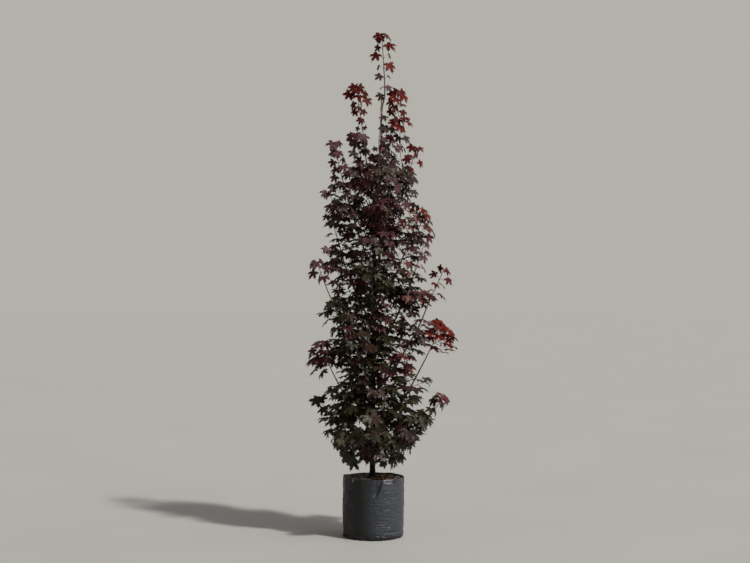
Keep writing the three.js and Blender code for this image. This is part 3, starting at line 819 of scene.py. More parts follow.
# Where each rule of the tints begins: in depth, to the right and in height, with how far two heights blend
tintFrom = {"accentDepth": 0.02, "bright": 0.10, "lowTo": 1.15, "upper": 1.70, "high": 2.44, "blend": 0.16}
# Places kept open from front to back: to the right, height, half width and half height
openings = [(0.006, 2.545, 0.058, 0.145), (0.082, 2.675, 0.022, 0.050), (-0.004, 0.470, 0.022, 0.085)]
# The underside of the crown rises outwards: no leaf hangs lower than this
skirt = {"low": 0.376, "from": 0.145, "slope": 1.35}


def leafMaterial(name, color, gloss, rough):
    return makeFinish(name, {
        **leafFinish, "first": [leafFinish["darker"] * c for c in color],
        "second": [leafFinish["lighter"] * c for c in color], "rough": rough,
        "shader": {"Specular IOR Level": gloss}})


def tintFor(one, share, point, draw):
    # An accent's tint where one reaches, the limb's own at its tip, and otherwise dealt out by height
    for right, height, reach, tint in accents:
        if point[1] < tintFrom["accentDepth"] and math.hypot(point[0] - right, point[2] - height) < reach:
            return tint
    if share > one["tintAfter"] and one["tint"]:
        return one["tint"]
    if point[2] > tintFrom["high"] + draw.around(tintFrom["blend"]):
        return draw.pick(decks["high"])
    if point[2] > tintFrom["upper"] + draw.around(tintFrom["blend"]):
        return draw.pick(decks["upper"])
    if point[0] > tintFrom["bright"] and point[2] > tintFrom["lowTo"]:
        return draw.pick(decks["bright"])
    return draw.pick(decks["low"] if point[2] < tintFrom["lowTo"] else decks["middle"])


# Growth: crossed pairs along each stem, on twigs near its foot and on the stem itself near its tip

shoots = {
    "nodeStep": 0.051, "firstNode": 0.016, "openAngle": 58, "tipAngle": 41, "jitter": 20, "tipLeaves": 3,
    "tuftStep": 0.025, "tuftSize": 0.90, "thinSize": 0.60, "thinStalk": 0.6, "tipStalk": 0.7,
    "facingStep": 0.060, "weakSize": 0.62,
    "tipYouth": 0.75, "youthFrom": [(1.75, 0.6), (0.66, -0.12)],  # begins here and is full this much further
}
twig = {
    "length": 0.070, "lengthSpread": 0.35, "footLength": 1.15, "tipLength": 0.6, "rise": 0.25, "sag": 0.10,
    "footRadius": 0.0016, "tipRadius": 0.0010, "sides": 6, "steps": 9, "stalk": 0.85, "openAngle": 50,
    "sprayTo": 0.64, "sprayBelow": 2.26, "midPairFrom": 0.050,
    "swells": [(0.5, 0.05, 0.25), (0.95, 0.06, 0.35)],  # where a node is, how long and how thick
    "budLength": 0.006, "budRadius": 0.001, "budGirth": (1.0, 1.7, 2.0, 1.7, 1.0, 0.15),
}
spurs = {
    "seed": 7, "from": 0.430, "lowTo": 0.530, "lowStep": 0.032, "to": 2.200, "step": 0.088, "rise": 0.55,
    "length": 0.062, "lengthSpread": 0.3, "leafSize": 0.88, "turnStep": 137.5, "turnSpread": 90,
    "share": 0.3, "youngPastLow": 2,
}
# What a blade faces, grown and young. The open side is the one with the sun, to the front and the right
light = {"up": (1.15, 0.30), "out": (0.22, 0.30), "open": (0.30, 1.0), "stray": (0.55, 0.36)}
tries = {"sizes": (1, 0.88, 0.76), "turns": (0, 28, -28, 56, -56, 84), "droops": (0, -18, 18, -34)}
clearance = {
    "wood": 0.0015, "leafCore": 0.58, "woodCore": 0.6, "woodStep": 0.008, "woodNear": 1.2, "middle": 0.3,
    "past": 0.012, "room": 3000,
}

openWay = unit(np.array([0.38, -0.76, 0.52]))
grown = {"leaves": [], "stalks": [], "twigs": []}
filled = {
    "middles": np.zeros((clearance["room"], 3)), "normals": np.zeros((clearance["room"], 3)),
    "sizes": np.zeros(clearance["room"]), "tips": np.zeros((clearance["room"], leafShape["tipsKept"], 3)),
    "count": 0,
}
cadLowPoint = np.array(cadLow) - clearance["past"]
cadHighPoint = np.array(cadHigh) + clearance["past"]


def woodPoints():
    heights = np.arange(trunk["foot"], trunk["tip"], clearance["woodStep"])
    points, radii = [trunkAt(heights)], [trunkRadius(heights)]
    for one in limbs:
        shares = np.linspace(0, 1, int(one["path"]["length"] / clearance["woodStep"]))
        points.append(pointAt(one["path"], shares))
        radii.append(limbRadius(one, shares))
    return np.concatenate(points), np.concatenate(radii)


woodPlaces, woodRadii = woodPoints()


def bladeFrame(axis, normal):
    return np.stack([axis, np.cross(normal, axis), normal], axis=-1)


def clearOfWood(middle, normal, size):
    way = woodPlaces - middle
    near = np.einsum("ij,ij->i", way, way) < (size * clearance["woodNear"]) ** 2
    if not near.any():
        return True
    height = way[near] @ normal
    flat = np.linalg.norm(way[near] - height[:, None] * normal, axis=1)
    hit = (np.abs(height) < woodRadii[near] + clearance["wood"]) & (flat < clearance["woodCore"] * size)
    return not hit.any()


def crosses(middle, tips, otherMiddles, otherNormals, otherSizes):
    # Whether a line from the middle to a tip passes through the core of another blade
    start = np.einsum("ij,ij->i", middle - otherMiddles, otherNormals)[:, None]
    end = np.einsum("nkj,nj->nk", tips - otherMiddles[:, None], otherNormals)
    share = np.where(start * end < 0, start / np.where(start == end, 1, start - end), 0)
    at = middle + (tips - middle) * share[..., None]
    off = np.linalg.norm(at - otherMiddles[:, None], axis=2)
    return ((start * end < 0) & (off < clearance["leafCore"] * otherSizes[:, None])).any()


def clearOfLeaves(middle, normal, size, tips):
    count = filled["count"]
    span = np.linalg.norm(filled["middles"][:count] - middle, axis=1)
    near = np.nonzero(span < size + filled["sizes"][:count])[0]
    if not len(near):
        return True
    middles, normals = filled["middles"][near], filled["normals"][near]
    own = np.broadcast_to(tips, (len(near), *tips.shape))
    if crosses(middle, own, middles, normals, filled["sizes"][near]):
        return False
    for k in near:
        mine = (middle[None], normal[None], np.array([size]))
        if crosses(filled["middles"][k], filled["tips"][k][None], *mine):
            return False
    return True


def growLeaf(draw, place, along, lean, size, stalkSize, tint, youth):
    # Lays one leaf at the first try that touches nothing, or none at all
    stalk = leaf["stalk"] * stalkSize * (1 + draw.around(leaf["stalkSpread"]))
    droop = lerp(leaf["innerDroop"], leaf["tipDroop"], youth) + draw.around(leaf["droopSpread"])
    stray = np.array([draw.around(1), draw.around(1), draw.around(1)])
    toUp, toOut, toOpen, toStray = [lerp(*light[aim], youth) for aim in ("up", "out", "open", "stray")]
    variant = int(draw.share() * leaf["variants"]) % leaf["variants"]
    for share in tries["sizes"]:
        for turn in tries["turns"]:
            way = turned(lean, along, turn)
            junction = place + way * stalk * share
            out = unit(np.array([way[0], way[1], 1e-6]))
            fromTrunk = junction - trunkAt(junction[2])
            fromTrunk = fromTrunk / max(np.linalg.norm(fromTrunk), 1e-6)
            for dip in tries["droops"]:
                axis = turned(out, np.cross(up, out), droop + dip)
                facing = toUp * up + toOut * fromTrunk + toOpen * openWay + toStray * stray
                normal = unit(facing - axis * np.dot(facing, axis))
                blade = size * share
                turnedBlade = bladeFrame(axis, normal)
                middle = junction + axis * blade * clearance["middle"]
                tips = junction + leafVariants[variant]["tips"] @ turnedBlade.T * blade
                inside = (tips > cadLowPoint).all() and (tips < cadHighPoint).all()
                if not inside or belowSkirt(tips) or inOpening(middle):
                    continue
                if clearOfWood(middle, normal, blade) and clearOfLeaves(middle, normal, blade, tips):
                    keepLeaf(middle, normal, blade, tips)
                    grown["leaves"].append({"variant": variant, "junction": junction, "frame": turnedBlade,
                                            "size": blade, "tint": tint})
                    growStalk(place, junction, axis, stalk * share)
                    return True
    return False


def inOpening(point):
    return any(abs(point[0] - right) < halfWidth and abs(point[2] - height) < halfHeight
               for right, height, halfWidth, halfHeight in openings)


def belowSkirt(tips):
    far = np.hypot(tips[:, 0], tips[:, 1])
    return (tips[:, 2] < skirt["low"] + skirt["slope"] * np.maximum(0, far - skirt["from"])).any()


def keepLeaf(middle, normal, size, tips):
    values = {"middles": middle, "normals": normal, "sizes": size, "tips": tips}
    for key, value in values.items():
        filled[key][filled["count"]] = value
    filled["count"] += 1


def growStalk(place, junction, axis, length):
    # A stalk leaves its stem and arches over to where the blade hangs
    elbow = lerp(place, junction, leaf["stalkElbow"]) + up * length * leaf["stalkRise"]
    path = bentPath(place, elbow, junction + axis * leaf["stalkInto"], len(leaf["stalkGirth"]))
    radii = leaf["stalkRadius"] * np.array(leaf["stalkGirth"])
    grown["stalks"].append(tube(path["points"], radii, leaf["stalkSides"]))


def leanTo(along, turn, opening):
    # Opens from a stem towards a turn as seen from above
    return turned(along, unit(np.cross(along, outward(turn))), opening)


def leanFrom(along, turn, opening):
    level = turned(unit(np.cross(along, up)), along, turn)
    return turned(along, level, opening)


def growTwig(draw, place, lean, turn, length, size, tint, youth):
    # A twig with a pair of leaves half way, if it is long enough, a pair at its end and a bud
    end = place + lean * length + up * length * twig["rise"]
    elbow = lerp(place, end, 0.5) - up * length * twig["sag"]
    path = bentPath(place, elbow, end, twig["steps"])
    shares = np.linspace(0, 1, twig["steps"])
    swell = 1
    for at, wide, rise in twig["swells"]:
        swell = swell + rise * np.exp(-((shares - at) / wide) ** 2)
    radii = lerp(twig["footRadius"], twig["tipRadius"], shares) * swell
    grown["twigs"].append(tube(path["points"], radii, twig["sides"]))
    growBud(end, headingAt(path, 1))
    pairs = [1.0, 0.5] if length > twig["midPairFrom"] else [1.0]
    for order, at in enumerate(pairs):
        heading = headingAt(path, at)
        across = turn + 90 + order * 90
        for side in (0, 1):
            way = leanFrom(heading, across + side * 180 + draw.around(shoots["jitter"]), twig["openAngle"])
            growLeaf(draw, pointAt(path, at), heading, way, size, twig["stalk"], tint, youth)


def growBud(place, heading):
    shares = np.linspace(0, 1, len(twig["budGirth"]))
    points = place + heading * shares[:, None] * twig["budLength"]
    grown["twigs"].append(tube(points, twig["budRadius"] * np.array(twig["budGirth"]), twig["sides"]))


def nodePlaces(one):
    # Even steps along the stem, then closer ones in the tuft at its tip
    length = one["path"]["length"]
    start = one["bareShare"] + shoots["firstNode"] / length
    end = 1 - one["tuft"] * shoots["tuftStep"] / length
    step = shoots["facingStep"] if one["facing"] else shoots["nodeStep"] * one["spacing"]
    count = round((end - start) * length / step)
    even = [lerp(start, end, i / count) for i in range(count)]
    return even + [end + k * shoots["tuftStep"] / length for k in range(one["tuft"])], start


def within(run, at):
    return run[0] < at < run[1]


def leafSize(height, draw):
    heights, sizes = zip(*leaf["sizeAt"])
    return leaf["length"] * np.interp(height, heights, sizes) * (1 + draw.around(leaf["lengthSpread"]))


def youthAt(share, height):
    # How young a leaf hangs and faces: fully so at the top and lowest down, and mostly so at the tips
    ramps = [np.clip((height - start) / over, 0, 1) for start, over in shoots["youthFrom"]]
    return max(shoots["tipYouth"] * share ** 2, *ramps)


def growMass(one):
    path = one["path"]
    draw = Draws(one["seed"])
    nodesAt, start = nodePlaces(one)
    evenCount = len(nodesAt) - one["tuft"]
    for i, at in enumerate(nodesAt):
        if within(one["bare"], at):
            continue
        share = (at - start) / (1 - start)
        thin = within(one["thin"], at)
        place, heading = pointAt(path, at), headingAt(path, at)
        size = leafSize(place[2], draw) * lerp(leaf["lowSize"], leaf["highSize"], share)
        size *= shoots["thinSize"] if thin else shoots["tuftSize"] if i >= evenCount else 1
        youth = youthAt(share, place[2])
        for side in (0, 1):
            turn = i * 90 + side * 180 + draw.around(shoots["jitter"])
            lean = leanFrom(heading, turn, shoots["openAngle"])
            if one["facing"]:
                # By turns to the left and the right of the front, with a smaller leaf behind each
                front = 180 + one["facing"] if i % 2 == 0 else -one["facing"]
                lean = leanTo(heading, front + side * 180, shoots["openAngle"])
                size *= shoots["weakSize"] if side else 1
            tint = tintFor(one, share, place, draw)
            reach = lerp(twig["footLength"], twig["tipLength"], share)
            length = twig["length"] * reach * (1 + draw.around(twig["lengthSpread"]))
            if share < twig["sprayTo"] and place[2] < twig["sprayBelow"] and not thin:
                growTwig(draw, place, lean, turn, length, size, tint, youth)
            else:
                growLeaf(draw, place, heading, lean, size, shoots["thinStalk"] if thin else 1, tint, youth)
    place, heading = pointAt(path, 1), headingAt(path, 1)
    for i in range(shoots["tipLeaves"]):
        turn = i * 360 / shoots["tipLeaves"] + draw.around(shoots["jitter"])
        lean = leanFrom(heading, turn, shoots["tipAngle"])
        size = leafSize(path["points"][-1][2], draw) * leaf["tipSize"]
        growLeaf(draw, place, heading, lean, size, shoots["tipStalk"], tintFor(one, 1, place, draw), 1)
    growBud(place, heading)
    return nodesAt


def growSpurs():
    # Short spurs on the trunk between the boughs, which close the middle of the crown
    draw = Draws(spurs["seed"])
    low = np.arange(spurs["from"], spurs["lowTo"], spurs["lowStep"])
    for i, height in enumerate([*low, *np.arange(spurs["lowTo"], spurs["to"], spurs["step"])]):
        place = trunkAt(height)
        lean = unit(outward(i * spurs["turnStep"]) + up * spurs["rise"])
        tint = tintFor(plainHabit, spurs["share"], place, draw)
        length = spurs["length"] * (1 + draw.around(spurs["lengthSpread"]))
        youth = 1 if i < len(low) + spurs["youngPastLow"] else 0
        turn = draw.around(spurs["turnSpread"])
        size = leafSize(height, draw) * spurs["leafSize"]
        growTwig(draw, place, lean, turn, length, size, tint, youth)


# Bag: thin film round the compost, creased by its handling

bag = {
    "radius": (bagHigh.x - bagLow.x) / 2, "height": bagHigh.z, "film": 0.0014, "footRound": 0.016,
    "bulge": 0.003, "around": 420, "wallStep": 0.0022, "innerSteps": 26,
    "innerCrowding": 1.6, "wallFrom": 0.004, "rimRound": 0.45,
    "footRings": (0.2, 0.45, 0.7, 0.88), "footBends": (0, 75, 7), "crimpFrom": 0.35, "crimpBy": 50,
    "dent": 0.0030, "smallDent": 0.7, "crinkle": 0.0026, "smallCrinkle": 0.6, "fine": 0.0006,
    "busyAt": 0.215, "busyTall": 0.095, "calm": 0.35,
    "rimFold": 0.0034, "rimFoldDepth": 0.055, "rimFoldFade": 1.5, "rimWave": 0.0034, "rimDrop": 0.002,
    "peakTurn": -93, "peak": 0.011, "peakWidth": 0.019,
    "pleat": 0.0120, "pleatTo": 0.050, "pleatFade": 1.2, "pleatMiddle": 0.55, "ruck": 0.0036,
    "hem": 0.0040, "hemAt": 0.047, "hemWidth": 0.006, "hemLeast": 0.6,
}
# How creased each part of the wall is: its middle, what a wave and a side add, and its limits
patches = {"middle": 0.50, "wave": 0.7, "side": 0.50, "sideTurn": 0.15, "limits": (0.10, 1.1)}
# Waves of the film: how wide and how tall one is, and the seed of their pattern
filmWaves = {
    "patches": (0.24, 0.20, 21), "dents": (0.17, 0.14, 22), "smallDents": (0.07, 0.05, 23),
    "crinkles": (0.048, 0.0175, 24), "smallCrinkles": (0.027, 0.0108, 25), "fine": (0.014, 0.006, 26),
    "rimFolds": (0.060, 0.09, 27), "smallRimFolds": (0.022, 0.05, 28), "pleats": (0.028, 0.022, 29),
    "rucks": (0.013, 0.009, 33), "hem": (0.09, 1, 34),
}
rimWaves = [(11, 31, 1), (34, 32, 0.5)]  # how many round the rim, their seed and their share
# Creases: from and to, as the way round from the front to the right and the height, then width and depth
creases = [
    ((0.052, 0.366), (0.012, 0.276), 0.0105, 0.0175), ((0.030, 0.372), (0.010, 0.318), 0.0050, 0.0060),
    ((0.014, 0.0860), (0.082, 0.0905), 0.0032, 0.0048), ((0.086, 0.0690), (0.124, 0.0800), 0.0030, 0.0044),
    ((0.136, 0.372), (0.139, 0.331), 0.0034, 0.0048), ((0.152, 0.372), (0.150, 0.345), 0.0032, 0.0042),
    ((-0.110, 0.372), (-0.075, 0.322), 0.0050, 0.0036), ((0.280, 0.372), (0.250, 0.300), 0.0050, 0.0050),
    ((-0.330, 0.372), (-0.300, 0.290), 0.0050, 0.0050), ((0.420, 0.110), (0.500, 0.118), 0.0032, 0.0042),
    ((-0.480, 0.090), (-0.400, 0.081), 0.0032, 0.0042), ((0.560, 0.372), (0.520, 0.310), 0.0050, 0.0048),
]
creaseShape = {"ridge": 0.75, "ridgeOff": 1.5, "ends": 0.02}
# The film is painted lighter and bluer towards the front right, where the lamps fall on it: painted sheen.
# Its lowest 5 cm are painted dark again: painted shade where it stands on the floor
filmFinish = {
    "first": (0.0038, 0.0034, 0.0030), "second": (0.0094, 0.0090, 0.0088), "patch": 16.0,
    "paintedLightAndShade": [((0.90, -0.44, 0), -0.02, 0.13, (0.036, 0.041, 0.052)),
              ((0, 0, -1), -0.05, 0.0, (0.008, 0.007, 0.006))],
    "rough": (0.37, 0.47), "grain": 190.0, "stretch": (1, 1, 1.6), "grainStretch": (1, 1, 3.2),
    "bump": (0.45, 0.0011),
    "dust": (0.10, 24.0, (0.060, 0.055, 0.048)), "shader": {"Specular IOR Level": 0.36},
}


def turnsAround(count):
    # Evenly round from the front to the right, the back half as turns to the left
    turns = 2 * math.pi * np.arange(count) / count
    return np.where(turns > math.pi, turns - 2 * math.pi, turns)


def ringAt(radius, turns, z):
    return np.stack([radius * np.sin(turns), -radius * np.cos(turns), z + 0 * radius * turns], axis=-1)


def roundNoise(turns, count, y, seed):
    # Noise that has a whole count of waves once round
    return latticeNoise((turns / (2 * math.pi)) % 1 * count, y, seed, count)


def creaseHeight(s, z, crease):
    # A sharp valley with a soft ridge below it, fading out towards both ends
    (s0, z0), (s1, z1), width, depth = crease
    run = np.array([s1 - s0, z1 - z0])
    length = np.linalg.norm(run)
    along = ((s - s0) * run[0] + (z - z0) * run[1]) / length
    off = ((s - s0) * run[1] - (z - z0) * run[0]) / length
    inside = np.clip(along / length, creaseShape["ends"], 1 - creaseShape["ends"])
    fade = np.sqrt(np.clip(np.sin(np.pi * inside), 0, 1))
    past = np.maximum(0, np.abs(along / length - 0.5) - 0.5) * length
    fade = fade * np.exp(-(past / width) ** 2)
    ridge = creaseShape["ridge"] * np.exp(-((off + creaseShape["ridgeOff"] * width) / width) ** 2)
    return depth * fade * (ridge - np.exp(-(off / width) ** 2))


def wallOffset(turns, z):
    # How far the film stands off its round shape; turns are from the front to the right
    girth = 2 * math.pi * bag["radius"]

    def waves(name):
        wide, tall, seed = filmWaves[name]
        return roundNoise(turns, max(2, round(girth / wide)), z / tall, seed)

    def folded(name):
        return 1 - 2 * np.abs(waves(name))

    sided = patches["side"] * np.sin(turns - patches["sideTurn"])
    patch = np.clip(patches["middle"] + patches["wave"] * waves("patches") + sided, *patches["limits"])
    patch = patch * lerp(bag["calm"], 1, np.exp(-((z - bag["busyAt"]) / bag["busyTall"]) ** 2))
    rimShare = (z - bag["height"] + bag["rimFoldDepth"]) / bag["rimFoldDepth"]
    rimFade = np.clip(rimShare, 0, 1) ** bag["rimFoldFade"]
    footFade = np.clip(1 - z / bag["pleatTo"], 0, 1) ** bag["pleatFade"]
    hemFade = np.exp(-((z - bag["hemAt"]) / bag["hemWidth"]) ** 2)
    offset = bag["dent"] * (bag["smallDent"] * waves("dents") + 0.5 * waves("smallDents"))
    offset = offset + bag["crinkle"] * patch * folded("crinkles")
    offset = offset + bag["crinkle"] * bag["smallCrinkle"] * patch * folded("smallCrinkles")
    offset = offset + bag["fine"] * waves("fine")
    offset = offset + bag["rimFold"] * rimFade * (waves("rimFolds") + 0.5 * waves("smallRimFolds"))
    offset = offset + bag["pleat"] * footFade * (np.abs(waves("pleats")) - bag["pleatMiddle"])
    offset = offset + bag["ruck"] * np.sqrt(footFade) * waves("rucks")
    offset = offset - bag["hem"] * hemFade * (bag["hemLeast"] + waves("hem"))
    for crease in creases:
        offset = offset + creaseHeight(turns * bag["radius"], z, crease)
    return offset


def wallRadius(z):
    return bag["radius"] - bag["bulge"] * (1 - np.sin(math.pi * z / bag["height"]))


def rimHeight(turns):
    waves = sum(share * roundNoise(turns, count, 0 * turns, seed) for count, seed, share in rimWaves)
    peakAt = np.angle(np.exp(1j * (turns - math.radians(bag["peakTurn"])))) * bag["radius"]
    peak = bag["peak"] * np.exp(-(peakAt / bag["peakWidth"]) ** 2)
    return bag["height"] - bag["rimDrop"] + bag["rimWave"] * waves + peak


def bagPart():
    # From the middle of the foot outwards, up the wall, over the rim and down again inside
    turns = turnsAround(bag["around"])
    rings = []

    def ring(radius, z):
        rings.append(ringAt(radius, turns, z))

    footRound = bag["footRound"]
    footFrom = wallRadius(footRound) - footRound
    for share in bag["footRings"]:
        ring(footFrom * share, 0)
    for bend in np.linspace(*bag["footBends"]):
        z = footRound * (1 - math.cos(math.radians(bend)))
        crimp = wallOffset(turns, np.full_like(turns, z)) * min(1, bag["crimpFrom"] + bend / bag["crimpBy"])
        ring(footFrom + footRound * math.sin(math.radians(bend)) + crimp, z)
    top = rimHeight(turns)
    steps = int((bag["height"] - footRound) / bag["wallStep"])
    for share in np.linspace(bag["wallFrom"], 1, steps):
        z = lerp(footRound, top, share)
        ring(wallRadius(z) + wallOffset(turns, z), z)
    outer = wallRadius(top) + wallOffset(turns, top)
    ring(outer - bag["film"] * 0.5, top + bag["film"] * bag["rimRound"])
    for share in np.linspace(1, 0, bag["innerSteps"]) ** bag["innerCrowding"]:
        z = lerp(footRound, top, share)
        ring(wallRadius(z) + wallOffset(turns, z) - bag["film"], z)
    ring(footFrom, bag["film"])
    ring(footFrom * 0.5, bag["film"])
    return closedGrid(np.array(rings))


# The rim is turned out and down over a short stretch at the front right, which shows the film's inside. Its
# pale grey is painted sheen, the light that the turned rim catches
cuff = {  # rows go from the inner edge to the outer one
    "from": 0.060, "to": 0.130, "drop": 0.030, "inside": 0.012, "off": 0.0022, "film": 0.0009,
    "columns": 44, "rows": 22, "above": 0.0016, "arch": 0.0012, "seed": 41,
    "insideTo": 0.22, "rollOver": 0.16, "hangFrom": 0.38,
    "ragged": 0.07, "raggedWide": 0.012, "scallop": 0.05, "scallops": 90, "endDrop": 0.35, "endRound": 0.6,
    "flutter": 0.0011, "flutterWide": 0.014, "flutterRows": 5, "roll": 0.0016, "rolls": 9,
}
# Painted sheen: the turned film is coloured pale grey for the light on the rim, not for its own colour
cuffPaintedSheenFinish = {
    "first": (0.050, 0.052, 0.058), "second": (0.140, 0.144, 0.158), "patch": 60.0, "stretch": (1, 1, 2.5),
    "rough": (0.34, 0.5), "grain": 320.0, "bump": (0.4, 0.0006),
}


def cuffPart():
    s = np.linspace(cuff["from"], cuff["to"], cuff["columns"])[None, :]
    rows = np.linspace(0, 1, cuff["rows"])[:, None]
    turns = s / bag["radius"]
    top = rimHeight(turns) + cuff["above"]
    roll = np.clip((rows - cuff["insideTo"]) / cuff["rollOver"], 0, 1)  # 0 inside the rim, 1 outside it
    hang = np.clip((rows - cuff["hangFrom"]) / (1 - cuff["hangFrom"]), 0, 1)
    tucked = np.clip((cuff["insideTo"] - rows) / cuff["insideTo"], 0, 1)
    tatters = cuff["ragged"] * latticeNoise(s / cuff["raggedWide"], 0 * s, cuff["seed"])
    ragged = 1 + tatters + cuff["scallop"] * np.sin(s * cuff["scallops"])
    between = np.sin(math.pi * (s - cuff["from"]) / (cuff["to"] - cuff["from"]))
    rounded = lerp(cuff["endDrop"], 1, between ** cuff["endRound"])
    down = hang * cuff["drop"] * ragged * rounded
    z = top + cuff["arch"] * np.sin(math.pi * roll) - down - tucked * cuff["inside"]
    wall = wallRadius(z) + wallOffset(turns, np.minimum(z, top))
    lift = lerp(-bag["film"] - cuff["arch"], cuff["off"], 0.5 - 0.5 * np.cos(math.pi * roll))
    ripples = latticeNoise(s / cuff["flutterWide"], rows * cuff["flutterRows"], cuff["seed"] + 1)
    rolls = np.sin(down / cuff["drop"] * cuff["rolls"]) * (down > 0)
    flutter = cuff["flutter"] * ripples + cuff["roll"] * rolls
    radius = wall + lift + flutter * roll
    sides = [ringAt(radius - depth, turns, z).reshape(-1, 3) for depth in (0, cuff["film"])]
    count = cuff["rows"] * cuff["columns"]
    sheet = gridFaces(cuff["rows"], cuff["columns"], False)
    index = np.arange(count).reshape(cuff["rows"], cuff["columns"])
    border = np.concatenate([index[0], index[1:, -1], index[-1, -2::-1], index[-2:0:-1, 0]])
    following = np.roll(border, -1)
    walls = np.stack([following, border, border + count, following + count], axis=-1)
    return {"verts": np.concatenate(sides), "faces": [(sheet, 0), (sheet[:, ::-1] + count, 0), (walls, 0)]}


# Compost: a lumpy surface with chips, grit and a few fallen leaves on it

compost = {
    "top": 0.358, "drop": 0.004, "around": 220, "rings": 64, "foot": 0.318, "inset": 0.022, "edge": 0.0012,
    "footRings": (0.4, 1), "middle": 0.02, "lump": 0.0105, "lumpHeight": 0.6, "fine": 0.0036,
    "calmFrom": 0.004, "calmOver": 0.01, "calm": 0.3, "shift": 20,
    "mound": 0.004, "moundWide": 0.05, "hollow": 0.001, "hollowFrom": 0.05, "hollowOver": 0.12,
}
lumpWaves = [(0.026, 51, 1), (0.012, 52, 0.5)]  # how wide the lumps are, their seed and their share
fineWaves = [(0.0055, 53, 1)]
# Towards the front left the compost is painted pale grey-blue: a painted highlight that stands for a glint of
# light there
compostFinish = {
    "first": (0.020, 0.014, 0.010), "second": (0.075, 0.052, 0.036), "patch": 70.0, "rough": (0.85, 1.0),
    "grain": 520.0, "bump": (0.9, 0.002), "dust": (0.45, 60.0, (0.13, 0.12, 0.105)),
    "paintedLightAndShade": [((-0.95, -0.30, 0), 0.00, 0.06, (0.210, 0.218, 0.240))],
}
bits = {  # what lies on the compost: how many, their size, flatness, which side has more of them, and colours
    "chips": {"count": 560, "size": 0.0085, "flat": 0.34, "side": 0.7,
              "first": (0.070, 0.038, 0.022), "second": (0.210, 0.125, 0.078)},
    "grit": {"count": 300, "size": 0.0105, "flat": 0.55, "side": -0.9,
             "first": (0.040, 0.041, 0.042), "second": (0.190, 0.190, 0.188)},
    "lumps": {"count": 34, "size": 0.0260, "flat": 0.7, "side": -0.5,
              "first": (0.050, 0.051, 0.053), "second": (0.150, 0.152, 0.158)},
    "peat": {"count": 700, "size": 0.0080, "flat": 0.6, "side": 0.0,
             "first": (0.012, 0.009, 0.007), "second": (0.035, 0.025, 0.018)},
}
bit = {
    "seed": 61, "margin": 0.012, "middle": 0.03, "sizes": (0.45, 1.25), "corner": 0.55, "narrow": (0.4, 0.9),
    "upright": 2.0, "tilt": 28, "above": 0.12, "sharp": 30,
}
bitFinish = {"patch": 90.0, "rough": (0.75, 0.95), "grain": 600.0, "bump": (0.5, 0.0006)}


def compostHeight(x, y):
    shift = compost["shift"]

    def rough(waves):
        return sum(share * latticeNoise(x / wide + shift, y / wide + shift, seed)
                   for wide, seed, share in waves)

    far = np.hypot(x, y)
    hollow = compost["hollow"] * np.clip((far - compost["hollowFrom"]) / compost["hollowOver"], 0, 1)
    mound = compost["mound"] * np.exp(-(far / compost["moundWide"]) ** 2)
    calm = np.clip((bag["radius"] - compost["calmFrom"] - far) / compost["calmOver"], compost["calm"], 1)
    relief = compost["lump"] * rough(lumpWaves) * compost["lumpHeight"] + compost["fine"] * rough(fineWaves)
    return compost["top"] - compost["drop"] - hollow + mound + relief * calm


def compostPart():
    turns = turnsAround(compost["around"])
    edge = wallRadius(compost["top"]) + wallOffset(turns, compost["top"] + 0 * turns) - bag["film"]
    rings = [ringAt((edge - compost["inset"]) * share, turns, compost["foot"])
             for share in compost["footRings"]]
    for share in np.linspace(1, compost["middle"], compost["rings"]):
        reach = (edge - compost["edge"]) * share
        rings.append(ringAt(reach, turns, compostHeight(reach * np.sin(turns), -reach * np.cos(turns))))
    return closedGrid(np.array(rings))


cubeCorners = np.array([[x, y, z] for x in (-1, 1) for y in (-1, 1) for z in (-1, 1)], float)
cubeFaces = np.array([[0, 1, 3, 2], [4, 6, 7, 5], [0, 4, 5, 1], [2, 3, 7, 6], [0, 2, 6, 4], [1, 5, 7, 3]])


def onCompost(far, turn, above):
    x, y = far * math.cos(turn), far * math.sin(turn)
    return np.array([x, y, compostHeight(x, y) + above])


def bitsParts(kind, seed):
    # Rough chips: boxes with every corner moved, turned at random and half sunk in
    draw = np.random.default_rng(seed)
    sizes = bits[kind]
    parts = []
    for _ in range(sizes["count"]):
        far = (bag["radius"] - bit["margin"]) * math.sqrt(draw.uniform(bit["middle"], 1))
        turn = draw.uniform(0, 2 * math.pi)
        leans = sizes["side"] * math.cos(turn)
        if draw.uniform(-1, 1) > leans and leans < 0:
            turn = math.pi - turn
        size = sizes["size"] * draw.uniform(*bit["sizes"])
        corners = cubeCorners * draw.uniform(bit["corner"], 1, cubeCorners.shape)
        shape = corners * [1, draw.uniform(*bit["narrow"]), sizes["flat"]] * size / 2
        axis = unit(draw.normal(size=3) + np.array([0, 0, bit["upright"]]))
        spin = draw.uniform(0, 360)
        level = unit(np.cross(up, axis))
        tilted = np.array([turned(turned(corner, up, spin), level, draw.uniform(0, bit["tilt"]))
                           for corner in shape])
        place = onCompost(far, turn, size * bit["above"])
        parts.append({"verts": tilted + place, "faces": [(cubeFaces, 0)]})
    return parts


litter = {
    "seed": 77, "count": 7, "mostly": 5, "mostTurns": (-75, 30), "reach": (0.07, 0.135), "tilt": 0.35,
    "size": 0.045, "sizes": (0.7, 1.1), "curl": 0.8, "lift": 0.006,
}
litterFinish = {
    "first": (0.160, 0.062, 0.022), "second": (0.300, 0.130, 0.050), "patch": 60.0, "rough": (0.6, 0.8),
    "grain": 500.0, "bump": (0.4, 0.0005),
}


